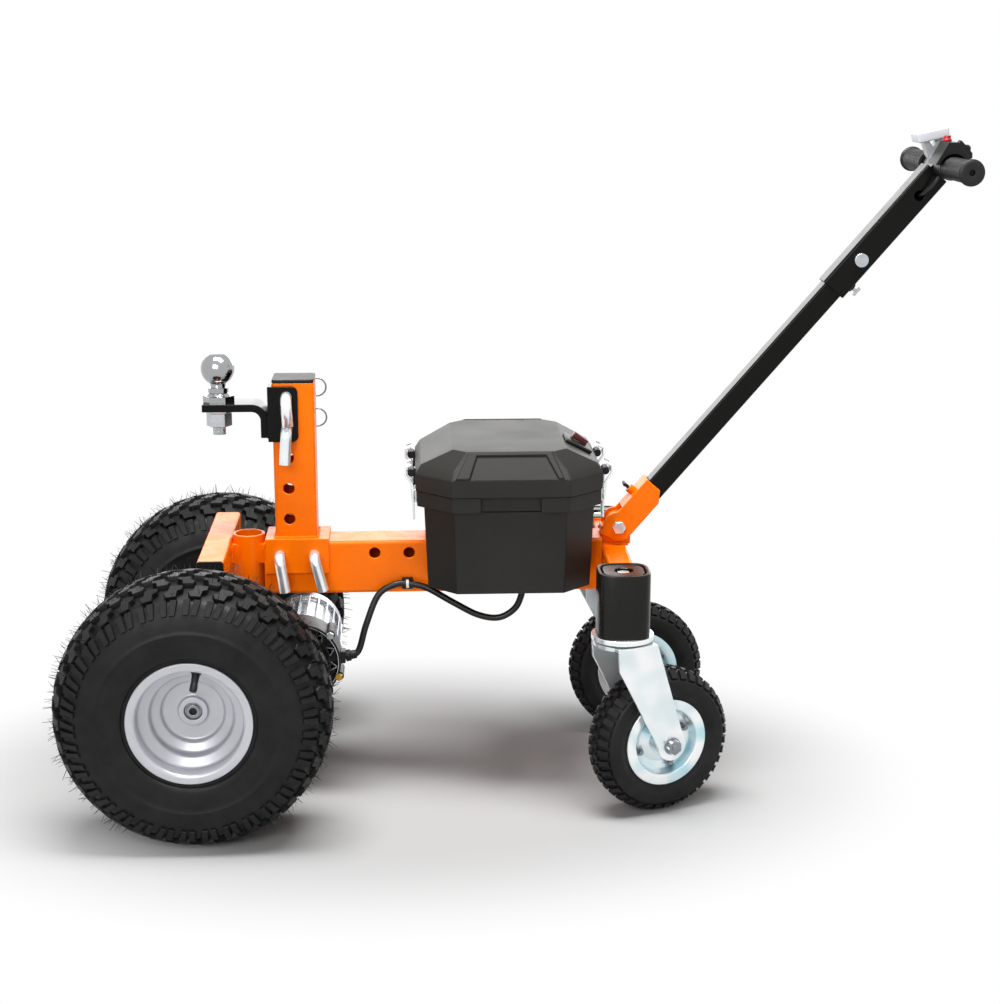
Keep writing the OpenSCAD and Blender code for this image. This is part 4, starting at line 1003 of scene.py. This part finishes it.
class DOLLY_OT_handle_head(bpy.types.Operator):
    """Grips, throttle, button and pod on the handlebar, and the pull pin"""
    bl_idname = "dolly.handle_head"
    bl_label = "Handle head"

    def execute(self, context):
        softened("throttle", "abs", 1)
        softened("stop_button", "red", 0.8)
        softened("display_pod", "pod", 2)
        softened("pull_pin", "abs", 0.6)
        # Painted barrel of the pull pin, welded to the top of the handle socket
        along = Vector(joint_of("handle_top")["axis"])
        out = Vector((-along.z, 0, along.x))
        foot = Vector(joint_of("handle")["pos_m"]) + 52 * MM * along + 15 * MM * out
        barrel = turned("pin_barrel", [(0, 0, 0), (6.6, 0, 0.3), (6.6, 8.6, 1), (0, 8.6, 0)], 3, 32)
        piece("pin_barrel", barrel, "orange", BODY_OF["pull_pin"], "frame_orange",
              place=Matrix.Translation(foot) @ pointing(out))
        # Grips with fine rings, an inner collar and a domed outer flange
        outline = [(12.5, 0, 0.5), (17.3, 0, 1.2), (17.3, 5, 1.5), (15.9, 6.5, 0.5)]
        for k in range(30):
            outline += [(15.9, 8 + k * 2.9, 0.5), (15.9, 9.6 + k * 2.9, 0.5), (15.2, 10.0 + k * 2.9, 0.3),
                        (15.2, 10.8 + k * 2.9, 0.3)]
        outline += [(15.9, 97.5, 1.5), (18.4, 99.5, 1.2), (18.4, 101.5, 1.6), (14, 104, 5), (4.2, 104, 0.8),
                    (4.2, 99.8, 0.3), (12.5, 99.8, 0.3)]
        grip = turned("grip", outline, 2, 64)
        both = bmesh.new()
        for side in (-1, 1):
            half = grip.copy()
            half.transform(Matrix.Translation(middle("grips") + Vector((0, side * 0.054, 0)))
                           @ spin(-90 * side, "X"))
            both.from_mesh(half)
        piece("ribbed_grips", shaded(both, "ribbed_grips", 40), "grip", BODY_OF["grips"], SLOT_OF["grips"],
              "grips")
        return {"FINISHED"}


# Points of the motor cable's route in millimetres, along X from the drive axle
MOTOR_CABLE = [(202.3, -59, 206), (220, -58, 212), (232, -52, 250), (250, -42, 292), (274, -39, 307),
               (293, -39, 308), (320, -42, 303), (360, -54, 283), (395, -60, 266), (425, -62, 262),
               (448, -62, 275), (458, -62, 296), (460, -62, 315.7)]
# Thickness of the motor cable in metres
CABLE_WIDTH = 0.0095


class DOLLY_OT_cables(bpy.types.Operator):
    """Motor cable and handle cable"""
    bl_idname = "dolly.cables"
    bl_label = "Cables"

    def execute(self, context):
        path = smooth_path([at(*point) for point in MOTOR_CABLE], 6)
        cable = piece("motor_lead", shaded(tube(path, CABLE_WIDTH / 2), "motor_lead"), "cable", "frame",
                      "cable_rubber", "motor_cable")
        softened("handle_cable", "cable", 0)
        return {"FINISHED"}


# Soft boxes: name, place and size in metres, and power in watts; all of them face one point
SOFT_BOXES = (("overhead", (-0.1, -0.4, 2.4), (1.7, 0.7), 84), ("front", (-0.9, -2.6, 1.7), (1.6, 1.2), 38),
              ("back", (0.2, 3.4, 1.2), (4.5, 1.3), 44))
LIT_POINT = Vector((0.0, 0.0, 0.35))


class DOLLY_OT_stage(bpy.types.Operator):
    """Pale floor, white surround, soft boxes and the camera"""
    bl_idname = "dolly.stage"
    bl_label = "Stage"

    def execute(self, context):
        scene = context.scene
        scene.view_settings.view_transform = "Standard"
        world = bpy.data.worlds.new("Studio")
        scene.world = world
        world.use_nodes = True
        tree = world.node_tree
        tree.nodes.clear()
        # The surround is white to the camera and in mirrors, and lights the dolly only faintly
        ray = add(tree, "ShaderNodeLightPath").outputs
        seen = add(tree, "ShaderNodeMath", {0: ray["Is Camera Ray"], 1: ray["Is Glossy Ray"]},
                   operation="MAXIMUM")
        seen = add(tree, "ShaderNodeMath", {0: seen, 1: ray["Is Transmission Ray"]}, operation="MAXIMUM")
        strength = add(tree, "ShaderNodeMapRange", {"Value": seen, "To Min": 0.1, "To Max": 1.0})
        light = add(tree, "ShaderNodeBackground", {"Color": (1, 1, 1, 1), "Strength": strength})
        add(tree, "ShaderNodeOutputWorld", {"Surface": light})

        floor_mesh = bpy.data.meshes.new("floor")
        half = 14.0
        floor_mesh.from_pydata([(-half, -half, 0), (half, -half, 0), (half, half, 0), (-half, half, 0)], [],
                               [(0, 1, 2, 3)])
        floor = bpy.data.objects.new("floor", floor_mesh)
        scene.collection.objects.link(floor)
        paper = bpy.data.materials.new("White studio paper")
        paper.use_nodes = True
        tree = paper.node_tree
        tree.nodes.clear()
        # The camera and mirrors see the paper as mid grey, so that its shadows are deep
        ray = add(tree, "ShaderNodeLightPath").outputs
        sharp = add(tree, "ShaderNodeMath", {0: ray["Is Camera Ray"], 1: ray["Is Glossy Ray"]},
                    operation="MAXIMUM")
        tone = add(tree, "ShaderNodeMapRange", {"Value": sharp, "To Min": 0.85, "To Max": 0.42})
        near = add(tree, "ShaderNodeBsdfDiffuse", {"Color": tone})
        # Away from the dolly the paper turns into plain white for them, so that no horizon shows
        where = add(tree, "ShaderNodeTexCoord").outputs["Object"]
        under = add(tree, "ShaderNodeVectorMath", {0: where, 1: (-0.165, 0.0, 0.0)}, operation="SUBTRACT")
        oval = add(tree, "ShaderNodeVectorMath", {0: under, 1: (0.95, 0.68, 1.0)}, operation="DIVIDE")
        reach = add(tree, "ShaderNodeVectorMath", {0: oval}, operation="LENGTH").outputs["Value"]
        fade = add(tree, "ShaderNodeMapRange", {"Value": reach, "From Min": 0.42, "From Max": 0.85},
                   interpolation_type="SMOOTHSTEP")
        part = add(tree, "ShaderNodeMath", {0: fade, 1: sharp}, operation="MULTIPLY")
        white = add(tree, "ShaderNodeEmission")
        whole = add(tree, "ShaderNodeMixShader", {0: part, 1: near, 2: white})
        add(tree, "ShaderNodeOutputMaterial", {"Surface": whole})
        floor_mesh.materials.append(paper)

        for name, spot, size, power in SOFT_BOXES:
            lamp = bpy.data.lights.new(name, "AREA")
            lamp.shape = "RECTANGLE"
            lamp.size, lamp.size_y = size
            lamp.energy = power
            holder = bpy.data.objects.new(name, lamp)
            holder.location = spot
            holder.rotation_euler = (LIT_POINT - Vector(spot)).to_track_quat("-Z", "Y").to_euler()
            scene.collection.objects.link(holder)

        # The camera stands where the photograph was taken from
        camera = bpy.data.cameras.new("camera")
        camera.lens = 67.9
        camera.sensor_width = 36
        camera.clip_end = 50
        eye = bpy.data.objects.new("camera", camera)
        eye.location = (middle("drive_shaft_left").x + 0.300, -2.696, 1.0791)
        eye.rotation_euler = (math.radians(76.27), 0, math.radians(-2.76))
        scene.collection.objects.link(eye)
        scene.camera = eye
        return {"FINISHED"}


OPERATORS = (DOLLY_OT_stage, DOLLY_OT_finishes, DOLLY_OT_cables, DOLLY_OT_drive_tyres, DOLLY_OT_drive_rims,
             DOLLY_OT_caster_tyres, DOLLY_OT_caster_rims, DOLLY_OT_steel, DOLLY_OT_box, DOLLY_OT_ball_mount,
             DOLLY_OT_transaxle, DOLLY_OT_casters, DOLLY_OT_handle_head)


class DOLLY_PT_panel(bpy.types.Panel):
    """Lists the steps that dress the dolly"""
    bl_idname = "DOLLY_PT_panel"
    bl_label = "Trailer dolly"
    bl_space_type = "VIEW_3D"
    bl_region_type = "UI"
    bl_category = "Dolly"

    def draw(self, context):
        for step in OPERATORS:
            self.layout.operator(step.bl_idname)
        for group in (context.scene.dolly_colours, context.scene.dolly_sizes):
            for key in group.__annotations__:
                self.layout.prop(group, key)


CLASSES = (DollyColours, DollySizes, *OPERATORS, DOLLY_PT_panel)


def register():
    for cls in CLASSES:
        bpy.utils.register_class(cls)
    bpy.types.Scene.dolly_colours = bpy.props.PointerProperty(type=DollyColours)
    bpy.types.Scene.dolly_sizes = bpy.props.PointerProperty(type=DollySizes)


def unregister():
    del bpy.types.Scene.dolly_sizes
    del bpy.types.Scene.dolly_colours
    for cls in reversed(CLASSES):
        bpy.utils.unregister_class(cls)


def main():
    register()
    for step in OPERATORS:
        group, name = step.bl_idname.split(".")
        getattr(getattr(bpy.ops, group), name)()


if __name__ == "__main__":
    main()
